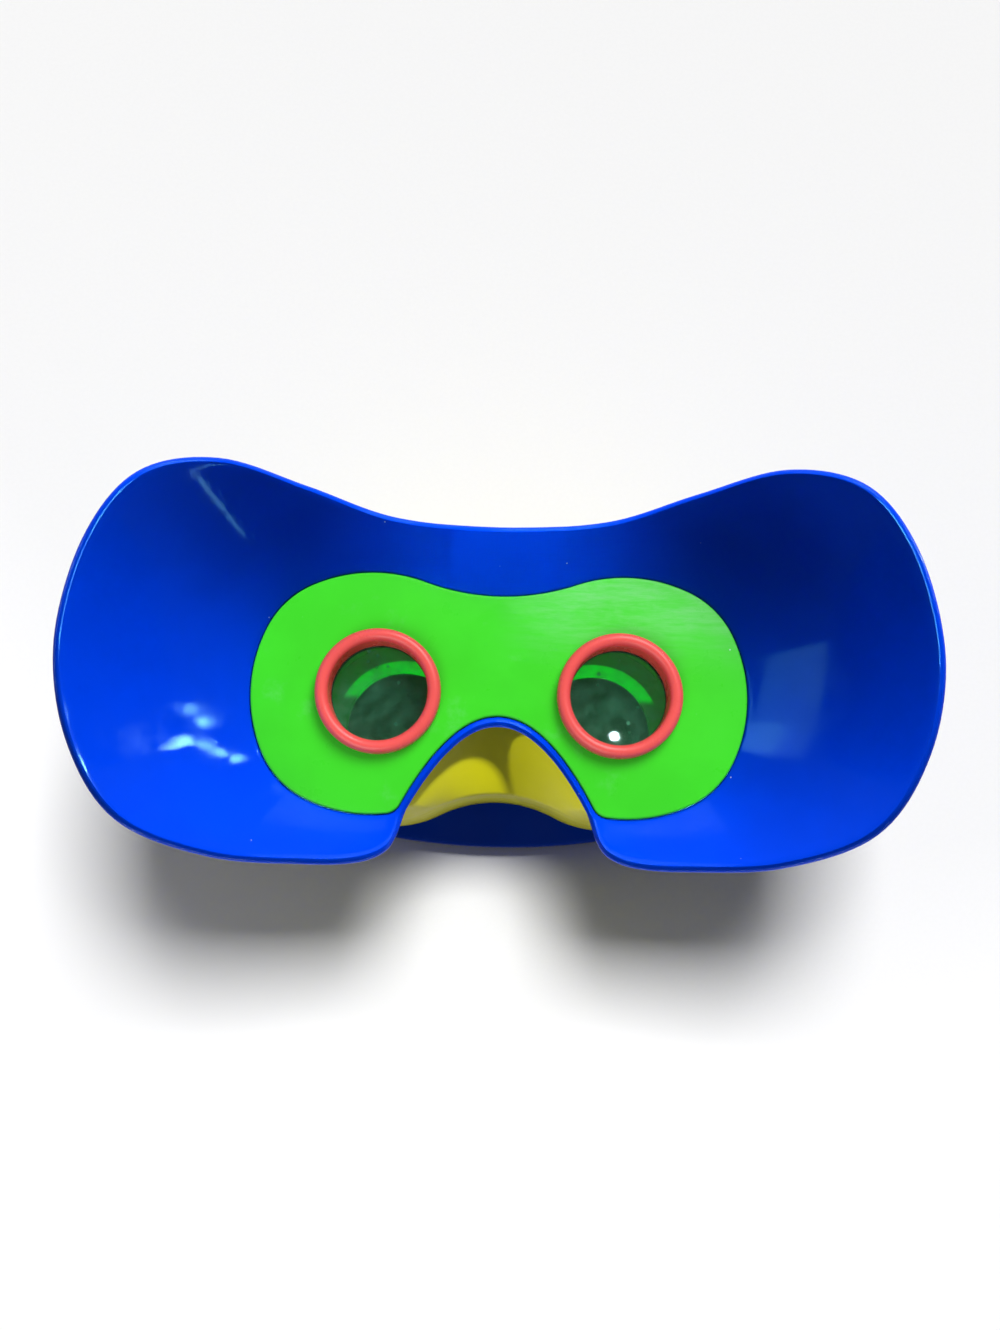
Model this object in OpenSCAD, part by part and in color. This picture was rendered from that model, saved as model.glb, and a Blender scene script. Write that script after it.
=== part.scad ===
// Toy binoculars with a flared face shield, standing on their front face.
// X runs across the eyepieces, Y towards the forehead and Z along the line of sight towards the eyes.

/* [Eyepieces] */
// Distance between the two optical axes
eye_spacing = 56; // [55:0.5:57.5]
// Outer radius of the rolled ring round each eyepiece
ring_r = 14.6; // [14.2:0.1:15]
// Width of the ring's roll
ring_roll = 3.1; // [2.8:0.1:3.4]
// Height of the ring's crest above the face plate
ring_rise = 3.6; // [3:0.1:4.4]
// Depth of the eye lens below the crest
lens_depth = 8.5; // [7.6:0.1:9.4]
// Wall of the neck that carries a ring through the plate
neck_wall = 1.9; // [1.7:0.1:2.2]
// Lap of the eye lens behind the neck's shoulder
lens_lap = 0.7; // [0.5:0.1:0.9]
// Thickness of an eye lens at its centre
eye_lens_t = 3; // [2.6:0.1:3.6]
// Radius of the eye lens's curved face
eye_lens_curve = 48; // [40:1:60]
// Length of the neck below the eye lens
neck_spare = 2.5; // [2:0.1:3]
// Wall of a retaining ring
retainer_wall = 1.4; // [1.1:0.1:1.8]
// Wall of the sight tube behind each eyepiece
tube_wall = 1.6; // [1.3:0.1:1.8]
// Width of the step inside a sight tube
tube_step = 3.5; // [2.8:0.1:4]
// Thickness of that step
tube_step_t = 2.4; // [1.6:0.1:3.2]

/* [Face plate] */
// Distance between the centres of the plate's two lobes
lobe_spacing = 59; // [58:0.5:60.5]
// Distance from the middle of a lobe to its head, side and foot
plate_lobe_r = 28.3; // [27.8:0.1:28.8]
// Radius of the flatter arcs at a lobe's head, side and foot
lobe_flat_r = 35; // [34:0.1:36]
// Height of the plate's dip above the optical axes
plate_dip = 23.2; // [22.6:0.1:23.8]
// Drop of the nose arch's crown below the optical axes
arch_crown = 5.1; // [4.6:0.1:5.6]
// Width of the nose arch at the level of its feet, from the middle
arch_half_width = 23.2; // [22.6:0.1:23.8]
// Height of the nose arch
arch_height = 22.5; // [21.8:0.1:23.2]
// Radius of the plate's corners beside the nose
plate_corner_r = 4; // [3.6:0.1:4.6]
// Thickness of the plate
plate_t = 2.2; // [1.9:0.1:2.6]
// How far the plate stands above the shield's base
plate_rise = 0.8; // [0.5:0.1:1.1]
// Rounding of the plate's edge
plate_edge = 0.6; // [0.4:0.1:0.8]
// Radius of the posts under the plate
plate_post_r = 2.2; // [2:0.1:2.4]

/* [Face shield] */
// Height of the shield's base above the front face
shield_level = 85; // [83:0.5:90]
// Half width of the rim
rim_half_width = 92.2; // [88:0.2:96]
// Height of the rim's brow above the optical axes
rim_brow = 47.4; // [45:0.1:49]
// Drop of the rim's lower edge below the optical axes
rim_drop = 40; // [38.4:0.1:41]
// Slope of the bowl beside the plate, in degrees
bowl_start_slope = 38; // [33:1:42]
// Slope of the bowl at its full reach, in degrees
bowl_end_slope = 61; // [55:1:63]
// Distance from the plate at which the bowl has its full slope
bowl_reach = 36; // [34:0.5:40]
// Wall of the shield
shield_wall = 2.2; // [1.9:0.1:2.5]
// Radius of the rounded rim
rim_bead_r = 1.4; // [1.3:0.05:1.6]
// Width of the shield's band at the crown of the nose arch
crown_band = 2.5; // [2.2:0.1:3]
// Width of the same band at the feet of the arch
foot_band = 1.9; // [1.8:0.1:2.2]
// Width of the ledge that carries the plate
ledge_w = 3; // [2.4:0.1:3.2]
// Thickness of that ledge
ledge_t = 2; // [1.6:0.1:2.6]

/* [Body] */
// Wall of the housing
body_wall = 2.2; // [1.9:0.1:2.5]
// Radius of a barrel
barrel_r = 29.2; // [28.8:0.1:29.8]
// Height of the waist between the barrels, on the forehead side
upper_waist = 20; // [19.6:0.1:20.6]
// Drop of the waist between the barrels, on the nose side
lower_waist = 22; // [21:0.1:23]
// Length of the shoulder that runs from the waist up to the shield
shoulder_length = 22; // [19:0.5:24]
// How far the housing's rear edge lies inside the plate's outline
rear_inset = 1; // [0.6:0.1:1.4]
// Width of the lip at the housing's rear
lip_w = 8; // [7.6:0.1:8.6]
// Thickness of that lip
lip_t = 2; // [1.6:0.1:2.6]
// Radius of the posts that take the body screws
body_post_r = 3.2; // [3:0.1:3.4]
// Distance from a barrel's side to the middle of a post
body_post_inset = 7.2; // [7:0.1:7.5]

/* [Front bezel] */
// Width of the oval bezel
bezel_w = 150; // [146:0.5:156]
// Depth of the oval bezel
bezel_d = 69; // [67:0.5:72]
// Radius of the oval's round ends
bezel_end_r = 27; // [25:0.5:29]
// Thickness of the bezel
bezel_t = 13; // [11:0.5:15]
// Rounding of the bezel's edges
bezel_edge = 1.2; // [0.8:0.1:2]
// Radius of the two openings in the bezel
opening_r = 19; // [18:0.1:20]
// Flare of an opening at the front face
opening_flare = 1.5; // [1:0.1:2.5]

/* [Focus drive] */
// Radius of the focus knob
knob_r = 12.5; // [11.8:0.1:13]
// Width of the focus knob
knob_w = 14; // [12:0.5:16]
// Number of grips round the knob
knob_grips = 20; // [14:1:24]
// Radius of a grip's hollow
grip_r = 1.1; // [0.8:0.1:1.3]
// Radius of the focus screw
screw_r = 3; // [2.6:0.1:3.4]
// Length of a bearing block
bearing_t = 5; // [4:0.5:6]
// Wall round the screw in its nut and its bearings
nut_wall = 2; // [1.6:0.1:2.4]
// Distance that the carriage moves each way from the middle
carriage_travel = 2.5; // [2:0.1:3]
// Length of a lens cell
cell_length = 8; // [7:0.5:10]
// Radius of an objective lens
objective_r = 17.5; // [16.5:0.1:17.9]
// Thickness of an objective lens at its centre
objective_t = 4; // [3.4:0.1:4.6]
// Radius of the objective lens's curved face
objective_curve = 70; // [60:1:90]
// Wall of a lens cell
cell_wall = 2.5; // [2:0.1:2.8]
// Thickness of the carriage's bridge
bridge_t = 4; // [3:0.5:5]
// Radius of a guide rod
guide_r = 1.5; // [1.2:0.1:1.8]
// Sideways distance of a guide rod from the middle
guide_x = 7; // [6.6:0.1:7.4]
// Drop of the guide rods below the optical axes
guide_drop = 11; // [10:0.1:12]

/* [Fasteners] */
// Radius of a screw's shank
shank_r = 1.25; // [1.1:0.05:1.4]
// Radius of a screw's head
head_r = 2.1; // [1.9:0.1:2.2]
// Height of a screw's head
head_t = 1.6; // [1.3:0.1:1.9]

/* [Hidden] */
$fn = 64;
lens_facets = 360;

// Radial play of a slip fit or a running fit
fit = 0.05;
// Gap round a piece that is let into another
seat_gap = 0.25;
// End play of a part that turns or slides
end_play = 0.2;
// How far a cut runs past what it cuts
overrun = 1;

// Rim of the shield from the middle of the brow round to the nose notch: shares of its half width,
// and of its brow height (above the axes) or its drop (below them)
rim_x_shares = [0, 0.26, 0.477, 0.672, 0.84, 0.95, 1, 0.968, 0.862, 0.672, 0.456, 0.338, 0.276, 0.249];
rim_y_shares = [0.789, 0.838, 0.945, 1, 0.874, 0.554, 0.107, -0.38, -0.787, -0.97, -1, -0.985, -0.93, -0.845];
// Place on the arch, as a share of its half width, towards which the rim runs out
band_lead_share = 0.8;
rim_steps = 3;
front_steps = 5;
bead_steps = 5;

// Steps along each stretch of a twin outline: dip, the six arcs of a lobe from head to foot, corner and arch
dip_steps = 6;
lobe_steps = [5, 4, 3, 2, 3, 2];
upper_steps = lobe_steps[0] + lobe_steps[1] + lobe_steps[2];
lower_steps = lobe_steps[3] + lobe_steps[4] + lobe_steps[5];
corner_steps = 3;
arch_steps = 8;
side_station = dip_steps + upper_steps;
last_station = 2 * side_station;

// Angle that a lobe's flatter arc takes on each side of its middle
lobe_flat_angle = 25;
// Angles on a lobe, from its outer side, of the plate posts and of the bezel screws
plate_post_angle = 45;
bezel_screw_angle = 50;
// Heights of the body screws, as shares of the housing's length, and reach of their posts and heads
body_screw_shares = [0.34, 0.74];
body_post_share = 0.46;
body_head_share = 0.31;
body_tip_share = 0.28;
// Height of the bosses that take the bezel screws, and depth of their heads in the bezel
bezel_boss_t = 6;
bezel_boss_r = 3;
bezel_head_sink = 3;
// Space between the bezel and the lens carriage, and between the carriage and its bearing
carriage_gap = 4;
bearing_gap = 1.5;
// Length of the knob's hub on each side of the grips, and wall of that hub
hub_side = 4.3;
hub_wall = 2;
slot_gap = 1;
// Seat of a guide rod in the bezel, and how far it stands past the carriage
guide_seat = 5;
guide_spare = 3;
// Gap between the nut and the housing's wall, and material round a guide rod
nut_gap = 0.6;
guide_wall = 3;
// Lip behind an objective lens
cell_lip = 1.5;
cell_lip_t = 1;
// How far the focus screw stands out at its ends
screw_spare = 1.5;
// Thickness of solid plate left above a screw's tip
tip_cover = 0.8;

function mix(a, b, share) = a + (b - a) * share;
function unit(v) = v / norm(v);
function polar(r, angle) = [r * cos(angle), r * sin(angle)];
function flip(v) = [-v.x, v.y];

// Heights, from the front face up
plate_top = shield_level + plate_rise;
ledge_top = plate_top - plate_t;
body_rear = ledge_top - ledge_t;
body_front = bezel_t;
body_length = body_rear - body_front;
shoulder_level = body_rear - shoulder_length;
carriage_front = body_front + carriage_gap;
carriage_back = carriage_front + cell_length;
front_bearing_level = carriage_back + carriage_travel + bearing_gap;
hub_front = front_bearing_level + bearing_t + end_play;
hub_length = knob_w + 2 * hub_side;
rear_bearing_level = hub_front + hub_length + end_play;
tube_front = front_bearing_level + bearing_t;
ring_crest = plate_top + ring_rise;
lens_top = ring_crest - lens_depth;
lens_seat = lens_top - eye_lens_t;
neck_end = lens_seat - neck_spare;

// Radii and places that several pieces share
eye_x = eye_spacing / 2;
ring_open_r = ring_r - ring_roll;
neck_r = ring_open_r + neck_wall;
eye_lens_r = ring_open_r + lens_lap;
tube_bore_r = neck_r + fit;
cell_r = objective_r + fit + cell_wall;
nut_r = screw_r + nut_wall;
knob_axis = upper_waist - body_wall - nut_gap - nut_r;
lobe = [lobe_spacing / 2, 0];
barrel_side = lobe.x + barrel_r;
body_post_x = barrel_side - body_post_inset;
plate_post_place = lobe + polar(plate_lobe_r - ledge_w - seat_gap - plate_post_r, plate_post_angle);
bezel_screw_place = lobe + polar(barrel_r - body_wall / 2 - bezel_boss_r, bezel_screw_angle);

// A station of an outline is its point and its outward direction
function station(point, outward) = [point, outward];
function station_mix(a, b, share) = [mix(a[0], b[0], share), mix(a[1], b[1], share)];
function station_flip(s) = [flip(s[0]), flip(s[1])];
function inset(s, amount) = s[0] - s[1] * amount;
function lifted(p, z) = [p.x, p.y, z];

// Stations on an arc; side is 1 where the outline bulges and -1 where it is hollow
function arc(centre, r, from, to, steps, side, skip) =
    [for (i = [skip:steps])
        let (direction = polar(1, mix(from, to, i / steps)))
        station(centre + direction * r, direction * side)];

// Hollow arc that crosses the middle at a waist and touches the circle on each side of it
function waist_r(centre, r, waist) =
    let (drop = waist - centre.y)
    (centre.x * centre.x + drop * drop - r * r) / (2 * (r - drop));
function waist_angle(centre, r, waist) = atan2(centre.x, waist - centre.y + waist_r(centre, r, waist));

// A lobe of the plate is a rounded square: flatter arcs at its head, side and foot, and rounder arcs between them
lobe_flat_shift = lobe_flat_r - plate_lobe_r;
lobe_head = lobe - [0, lobe_flat_shift];
lobe_side = lobe - [lobe_flat_shift, 0];
lobe_foot = lobe + [0, lobe_flat_shift];
lobe_round_loss = lobe_flat_shift / (cos(lobe_flat_angle) - sin(lobe_flat_angle));
lobe_round_r = lobe_flat_r - lobe_round_loss;
lobe_round_shift = lobe_round_loss * sin(lobe_flat_angle);

// Nose arch of the plate: a parabola, with its outward direction into the notch
function arch_point(x) = [x, -arch_crown - arch_height * pow(x / arch_half_width, 2)];
function arch_outward(x) = unit([-2 * arch_height * x / pow(arch_half_width, 2), -1]);
function corner_centre(x) = arch_point(x) - arch_outward(x) * plate_corner_r;
// Place on the arch where the corner's arc also touches the lobe, found by halving
function corner_x(low, high, rounds) =
    let (middle = (low + high) / 2,
         inside = norm(corner_centre(middle) - lobe_foot) < lobe_flat_r - plate_corner_r)
    rounds == 0 ? middle : corner_x(inside ? middle : low, inside ? high : middle, rounds - 1);
arch_end = corner_x(arch_half_width / 2, lobe.x, 30);
corner = corner_centre(arch_end);
corner_from = atan2(corner.y - lobe_foot.y, corner.x - lobe_foot.x);
corner_to = atan2(arch_outward(arch_end).y, arch_outward(arch_end).x);
dip_r = waist_r(lobe_head, lobe_flat_r, plate_dip);
dip_centre = [0, plate_dip + dip_r];
dip_angle = waist_angle(lobe_head, lobe_flat_r, plate_dip);

// Arcs of the plate's outline from the dip to the nose arch: centre, radius, first and last angle
plate_arcs = [[lobe_head, lobe_flat_r, 90 + dip_angle, 90 - lobe_flat_angle],
              [lobe + lobe_round_shift * [1, 1], lobe_round_r, 90 - lobe_flat_angle, lobe_flat_angle],
              [lobe_side, lobe_flat_r, lobe_flat_angle, 0],
              [lobe_side, lobe_flat_r, 0, -lobe_flat_angle],
              [lobe + lobe_round_shift * [1, -1], lobe_round_r, -lobe_flat_angle, lobe_flat_angle - 90],
              [lobe_foot, lobe_flat_r, lobe_flat_angle - 90, corner_from],
              [corner, plate_corner_r, corner_from, corner_to]];
plate_arc_steps = concat(lobe_steps, corner_steps);

// Right half of the plate's outline, from the dip round to the crown of the nose arch
plate_half = concat(
    arc(dip_centre, dip_r, -90, dip_angle - 90, dip_steps, -1, 0),
    [for (k = [0:len(plate_arcs) - 1])
        let (a = plate_arcs[k])
        each arc(a[0], a[1], a[2], a[3], plate_arc_steps[k], 1, 1)],
    [for (i = [1:arch_steps]) let (x = arch_end * (1 - i / arch_steps)) station(arch_point(x), arch_outward(x))]);

// Right half of the barrels' outline, with the same number of stations
upper_waist_r = waist_r(lobe, barrel_r, upper_waist);
lower_waist_r = waist_r(lobe, barrel_r, lower_waist);
upper_angle = waist_angle(lobe, barrel_r, upper_waist);
lower_angle = waist_angle(lobe, barrel_r, lower_waist);
barrel_half = concat(
    arc([0, upper_waist + upper_waist_r], upper_waist_r, -90, upper_angle - 90, dip_steps, -1, 0),
    arc(lobe, barrel_r, 90 + upper_angle, 0, upper_steps, 1, 1),
    arc(lobe, barrel_r, 0, -90 - lower_angle, lower_steps + corner_steps, 1, 1),
    arc([0, -lower_waist - lower_waist_r], lower_waist_r, 90 - lower_angle, 90, arch_steps, -1, 1));

// Right half of the bezel's oval: two round ends joined by long flat arcs
bezel_end_x = bezel_w / 2 - bezel_end_r;
bezel_rise = bezel_d / 2 - bezel_end_r;
bezel_flat_r = (bezel_end_x * bezel_end_x + bezel_rise * bezel_rise) / (2 * bezel_rise) + bezel_end_r;
bezel_flat_y = bezel_d / 2 - bezel_flat_r;
bezel_angle = atan2(bezel_end_x, -bezel_flat_y);
bezel_half = concat(
    arc([0, bezel_flat_y], bezel_flat_r, 90, 90 - bezel_angle, dip_steps, 1, 0),
    arc([bezel_end_x, 0], bezel_end_r, 90 - bezel_angle, bezel_angle - 90, 2 * upper_steps, 1, 1),
    arc([0, -bezel_flat_y], bezel_flat_r, bezel_angle - 90, -90, dip_steps, 1, 1));

// Closed loop of stations from a right half
function whole(half) = concat(half, [for (i = [len(half) - 2:-1:1]) station_flip(half[i])]);

// Two triangles for four corners
function quad(q) = [[q[0], q[1], q[2]], [q[0], q[2], q[3]]];

// Solid whose skin joins each ring of points to the next and the last to the first.
// The rings close round the part, or their two ends are capped.
module loft(rings, closed) {
    count = len(rings);
    length = len(rings[0]);
    spans = closed ? length : length - 1;
    skin = [for (j = [0:count - 1], i = [0:spans - 1])
        let (next = (j + 1) % count, beside = (i + 1) % length)
        each quad([j * length + i, j * length + beside, next * length + beside, next * length + i])];
    caps = closed ? [] : [for (j = [0:count / 2 - 2])
        let (q = [j + 1, count - 2 - j, count - 1 - j, j] * length, end = length - 1)
        each concat(quad(q), quad([q[0] + end, q[3] + end, q[2] + end, q[1] + end]))];
    polyhedron([for (ring = rings) each ring], concat(skin, caps));
}

// Solid between stacked loops of the same stations, closed below and above by strips across the lobes
module slab(loops) {
    count = len(loops);
    length = len(loops[0]);
    half = length / 2;
    side = half / 2;
    skin = [for (j = [0:count - 2], i = [0:length - 1])
        let (beside = (i + 1) % length,
             a = j * length + i, b = j * length + beside, c = a + length, d = b + length)
        each [[a, d, c], [a, b, d]]];
    strips = [for (k = [0:side - 1])
        let (across = half - k, other = (length - k) % length)
        each concat([[k, k + 1, across], [other, half + k, length - k - 1]],
            k < side - 1 ? [[k + 1, across - 1, across], [length - k - 1, half + k, half + k + 1]] : [])];
    top = (count - 1) * length;
    lids = [for (t = strips) each [[t[0] + top, t[1] + top, t[2] + top], [t[0], t[2], t[1]]]];
    polyhedron([for (loop = loops) each loop], concat(skin, lids));
}

// Loops for a slab with rounded edges, from pairs of inset and height
function slab_loops(half, profile) =
    [for (p = profile) [for (s = whole(half)) lifted(inset(s, p[0]), p[1])]];

// Quarter round from a side to a face: pairs of inset and height
round_steps = 3;
function quarter(r, level, direction, down) =
    [for (i = [0:round_steps])
        let (angle = 90 * (down ? round_steps - i : i) / round_steps)
        [r * (1 - cos(angle)), level + direction * r * (sin(angle) - 1)]];

// Places mirrored to both sides, or to all four quarters
module both_sides(x) {
    for (side = [-1, 1])
        translate([side * x, 0, 0])
            children();
}
module quarters(place, level) {
    for (side = [-1, 1], half = [-1, 1])
        translate([side * place.x, half * place.y, level])
            children();
}

// Screw with its head's seat at the origin and its shank along +Z
module screw(length) {
    translate([0, 0, -head_t])
        cylinder(r = head_r, h = head_t);
    cylinder(r = shank_r, h = length);
}

// Slope and height of the bowl at a distance from the plate
slope_rate = (bowl_end_slope - bowl_start_slope) / bowl_reach;
function slope(distance) = bowl_start_slope + slope_rate * distance;
function bowl(distance) = ln(cos(bowl_start_slope) / cos(slope(distance))) * 180 / PI / slope_rate;
function bowl_normal(distance) = [-sin(slope(distance)), cos(slope(distance))];

// Rim points, from the brow to the feet of the nose arch
function arch_band(x) = mix(crown_band, foot_band, x / arch_end);
function band_point(x) = arch_point(x) + arch_outward(x) * arch_band(x);
rim_table = [for (i = [0:len(rim_x_shares) - 1])
    [rim_x_shares[i] * rim_half_width, rim_y_shares[i] * (rim_y_shares[i] > 0 ? rim_brow : rim_drop)]];
rim_controls = concat([flip(rim_table[1])], rim_table,
    [band_point(arch_end), band_point(arch_end * band_lead_share)]);
function spline(p, k, s) =
    (2 * p[k] + (p[k + 1] - p[k - 1]) * s + (2 * p[k - 1] - 5 * p[k] + 4 * p[k + 1] - p[k + 2]) * s * s
     + (3 * p[k] - p[k - 1] - 3 * p[k + 1] + p[k + 2]) * s * s * s) / 2;

// Nearest point of the plate's outline to a point outside it
function faces(a, p) =
    let (angle = atan2(p.y - a[0].y, p.x - a[0].x))
    angle <= a[2] && angle >= a[3];
function nearest(p) =
    p.y > 0 && atan2(p.x, dip_centre.y - p.y) < dip_angle ? dip_centre + unit(p - dip_centre) * dip_r
    : concat([for (a = plate_arcs) if (faces(a, p)) a[0] + unit(p - a[0]) * a[1]],
             [corner + unit(p - corner) * plate_corner_r])[0];

// Stations of the shield: the point on the plate's outline and the point on the rim
shield_half = concat(
    [for (k = [1:len(rim_controls) - 3], i = [0:rim_steps - 1])
        let (p = spline(rim_controls, k, i / rim_steps)) [nearest(p), p]],
    [for (i = [0:arch_steps])
        let (x = arch_end * (1 - i / arch_steps)) [arch_point(x), band_point(x)]]);

// Section of the shield at a station: pairs of distance from the plate's outline and height
bead_swell = shield_wall / rim_bead_r / 2;
least_front = 0.4;
function bead_r(reach) =
    min(rim_bead_r, (reach - seat_gap - least_front) / (1 + bead_swell * sin(bowl_start_slope)));
function section(reach) =
    let (r = bead_r(reach),
         wall = 2 * bead_swell * r,
         last = reach - r * (1 + bead_swell * sin(slope(reach - 2 * r))),
         middle = [last, bowl(last)] - bowl_normal(last) * wall / 2,
         crease = asin(sqrt(1 - bead_swell * bead_swell)),
         front = [for (i = [0:front_steps]) mix(seat_gap, last, i / front_steps)],
         back = [for (i = [front_steps:-1:0]) let (d = front[i]) [d, bowl(d)] - bowl_normal(d) * wall],
         foot = back[front_steps].x)
    concat(
        [[-ledge_w, ledge_top - shield_level], [seat_gap, ledge_top - shield_level]],
        [for (d = front) [d, bowl(d)]],
        [for (i = [1:bead_steps - 1])
            let (angle = 90 + slope(last) - mix(crease, 180 - crease, i / bead_steps))
            middle + polar(r, angle)],
        back,
        [[foot, body_rear - shield_level], [-ledge_w, body_rear - shield_level]]);

shield_sections = [for (s = shield_half)
    let (reach = norm(s[1] - s[0]), out = unit(s[1] - s[0]))
    [for (v = section(reach)) lifted(s[0] + out * v[0], shield_level + v[1])]];
shield_loop = concat(shield_sections,
    [for (i = [len(shield_sections) - 2:-1:1]) [for (v = shield_sections[i]) [-v.x, v.y, v.z]]]);

module face_shield() {
    color("mediumblue")
        loft([for (j = [0:len(shield_loop[0]) - 1]) [for (s = shield_loop) s[j]]], true);
}

module face_plate() {
    color("limegreen")
        difference() {
            union() {
                slab(slab_loops(plate_half,
                    concat([[0, ledge_top]], quarter(plate_edge, plate_top, 1, false))));
                quarters(plate_post_place, body_rear)
                    cylinder(r = plate_post_r, h = ledge_t + plate_t - tip_cover);
            }
            both_sides(eye_x)
                translate([0, 0, body_rear])
                    cylinder(r = neck_r + fit, h = plate_top - body_rear + overrun);
            quarters(plate_post_place, body_rear - overrun)
                cylinder(r = shank_r, h = overrun + ledge_t + plate_t - 2 * tip_cover);
        }
}

// Rolled ring on a neck that passes through the plate and holds the lens from above
module eye_ring(side) {
    color("tomato")
        translate([side * eye_x, 0, 0])
            rotate_extrude()
                difference() {
                    union() {
                        translate([ring_open_r, plate_top])
                            square([ring_roll, ring_rise - ring_roll / 2]);
                        translate([ring_open_r + ring_roll / 2, ring_crest - ring_roll / 2])
                            circle(r = ring_roll / 2);
                        translate([ring_open_r, neck_end])
                            square([neck_wall, plate_top - neck_end + overrun]);
                    }
                    translate([0, neck_end - overrun])
                        square([eye_lens_r + fit, lens_top - neck_end + overrun]);
                }
}

// Lens with one curved face, its flat face at the origin
module lens(r, thickness, curve) {
    rotate_extrude()
        intersection() {
            square([r, thickness]);
            translate([0, thickness - curve])
                circle(r = curve, $fn = lens_facets);
        }
}

// Thickness of such a lens at a distance from its axis
function lens_depth_at(r, thickness, curve) = thickness - curve + sqrt(curve * curve - r * r);

module eye_lens(side) {
    color("paleturquoise", 0.5)
        translate([side * eye_x, 0, lens_top])
            rotate([180, 0, 0])
                lens(eye_lens_r, eye_lens_t, eye_lens_curve);
}

module ring_band(outer, wall, height) {
    difference() {
        cylinder(r = outer, h = height);
        translate([0, 0, -overrun])
            cylinder(r = outer - wall, h = height + 2 * overrun);
    }
}

module eye_retainer(side) {
    seat = lens_top - lens_depth_at(eye_lens_r - retainer_wall, eye_lens_t, eye_lens_curve);
    color("dimgray")
        translate([side * eye_x, 0, neck_end])
            ring_band(eye_lens_r, retainer_wall, seat - neck_end);
}

// Tube from the plate to the focus drive, slipped over the neck of the ring, with a step at its front
module sight_tube(side) {
    color("green")
        translate([side * eye_x, 0, tube_front]) {
            ring_band(tube_bore_r + tube_wall, tube_wall, ledge_top - tube_front);
            ring_band(tube_bore_r + tube_wall / 2, tube_step + tube_wall / 2, tube_step_t);
        }
}

module shield_screws() {
    color("silver")
        quarters(plate_post_place, lip_level)
            screw(lip_t + ledge_t + plate_t - 2 * tip_cover - end_play);
}

// Station of the housing at a height: the plate's outline at the rear, the barrels' below the shoulder
function body_station(i, z) =
    let (share = max(0, z - shoulder_level) / shoulder_length,
         rear = station(inset(plate_half[i], rear_inset), plate_half[i][1]))
    station_mix(barrel_half[i], rear, share);

// Section of the housing's wall and rear lip: pairs of inset and height, up the outside and down the inside
lip_level = body_rear - lip_t;
body_section = [[0, body_front], [0, shoulder_level], [0, lip_level], [0, body_rear - lip_t / 2], [0, body_rear],
                [lip_w, body_rear], [lip_w, lip_level], [body_wall, lip_level], [body_wall, shoulder_level],
                [body_wall, body_front]];

// Half of the housing on one side of the seam, with the posts and bosses for its screws
module body_half(half) {
    first = half > 0 ? 0 : side_station;
    last = half > 0 ? side_station : last_station;
    right = [for (i = [first:last]) i];
    left = [for (i = [last:-1:first]) i];
    rings = [for (v = body_section) let (p = [for (i = right) inset(body_station(i, v[1]), v[0])],
                                         q = [for (i = left) flip(inset(body_station(i, v[1]), v[0]))])
        [for (point = half > 0 ? concat(q, [for (i = [1:len(p) - 1]) p[i]])
                               : concat(p, [for (i = [1:len(q) - 1]) q[i]])) lifted(point, v[1])]];
    post_h = body_post_share * barrel_r;
    head_y = body_head_share * barrel_r;
    tip_y = body_tip_share * barrel_r;
    difference() {
        union() {
            loft(rings, false);
            body_screw_places()
                rotate([-90 * half, 0, 0])
                    cylinder(r = body_post_r, h = post_h);
            bezel_screw_places(half)
                cylinder(r = bezel_boss_r, h = bezel_boss_t);
        }
        body_screw_places()
            rotate([-90 * half, 0, 0]) {
                translate([0, 0, -overrun])
                    cylinder(r = shank_r, h = overrun + (half > 0 ? tip_y : head_y + overrun));
                if (half < 0)
                    translate([0, 0, head_y])
                        cylinder(r = head_r + fit, h = barrel_r);
            }
        bezel_screw_places(half)
            translate([0, 0, -overrun])
                cylinder(r = shank_r, h = bezel_boss_t + overrun - tip_cover);
        translate([0, 0, lip_level - overrun]) {
            for (side = [-1, 1])
                translate([side * plate_post_place.x, half * plate_post_place.y, 0])
                    cylinder(r = shank_r, h = lip_t + 2 * overrun);
            both_sides(eye_x)
                cylinder(r = tube_bore_r + tube_wall + seat_gap, h = lip_t + 2 * overrun);
        }
        if (half > 0)
            knob_slot();
    }
}

module body_screw_places() {
    for (share = body_screw_shares)
        both_sides(body_post_x)
            translate([0, 0, body_front + share * body_length])
                children();
}

module bezel_screw_places(half) {
    for (side = [-1, 1])
        translate([side * bezel_screw_place.x, half * bezel_screw_place.y, body_front])
            children();
}

// Window in the forehead side through which the knob stands out
module knob_slot() {
    translate([-knob_r, knob_axis, hub_front + hub_side - slot_gap])
        cube([2 * knob_r, barrel_r, knob_w + 2 * slot_gap]);
}

module upper_body_shell() {
    color("gold")
        body_half(1);
}

module lower_body_shell() {
    color("gold")
        body_half(-1);
}

module body_screws() {
    color("silver")
        body_screw_places()
            translate([0, -body_head_share * barrel_r, 0])
                rotate([-90, 0, 0])
                    screw((body_head_share + body_tip_share) * barrel_r - end_play);
}

module front_bezel() {
    color("navy")
        difference() {
            slab(slab_loops(bezel_half,
                concat(quarter(bezel_edge, 0, -1, true), quarter(bezel_edge, bezel_t, 1, false))));
            both_sides(eye_x) {
                translate([0, 0, -overrun])
                    cylinder(r = opening_r, h = bezel_t + 2 * overrun);
                cylinder(r1 = opening_r + opening_flare, r2 = opening_r, h = opening_flare);
            }
            quarters(bezel_screw_place, -overrun) {
                cylinder(r = shank_r + fit, h = bezel_t + 2 * overrun);
                cylinder(r = head_r + fit, h = overrun + bezel_head_sink);
            }
            both_sides(guide_x)
                translate([0, -guide_drop, bezel_t - guide_seat])
                    cylinder(r = guide_r, h = guide_seat + overrun);
        }
}

module bezel_screws() {
    color("silver")
        quarters(bezel_screw_place, bezel_head_sink)
            screw(bezel_t - bezel_head_sink + bezel_boss_t - tip_cover - end_play);
}

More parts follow.
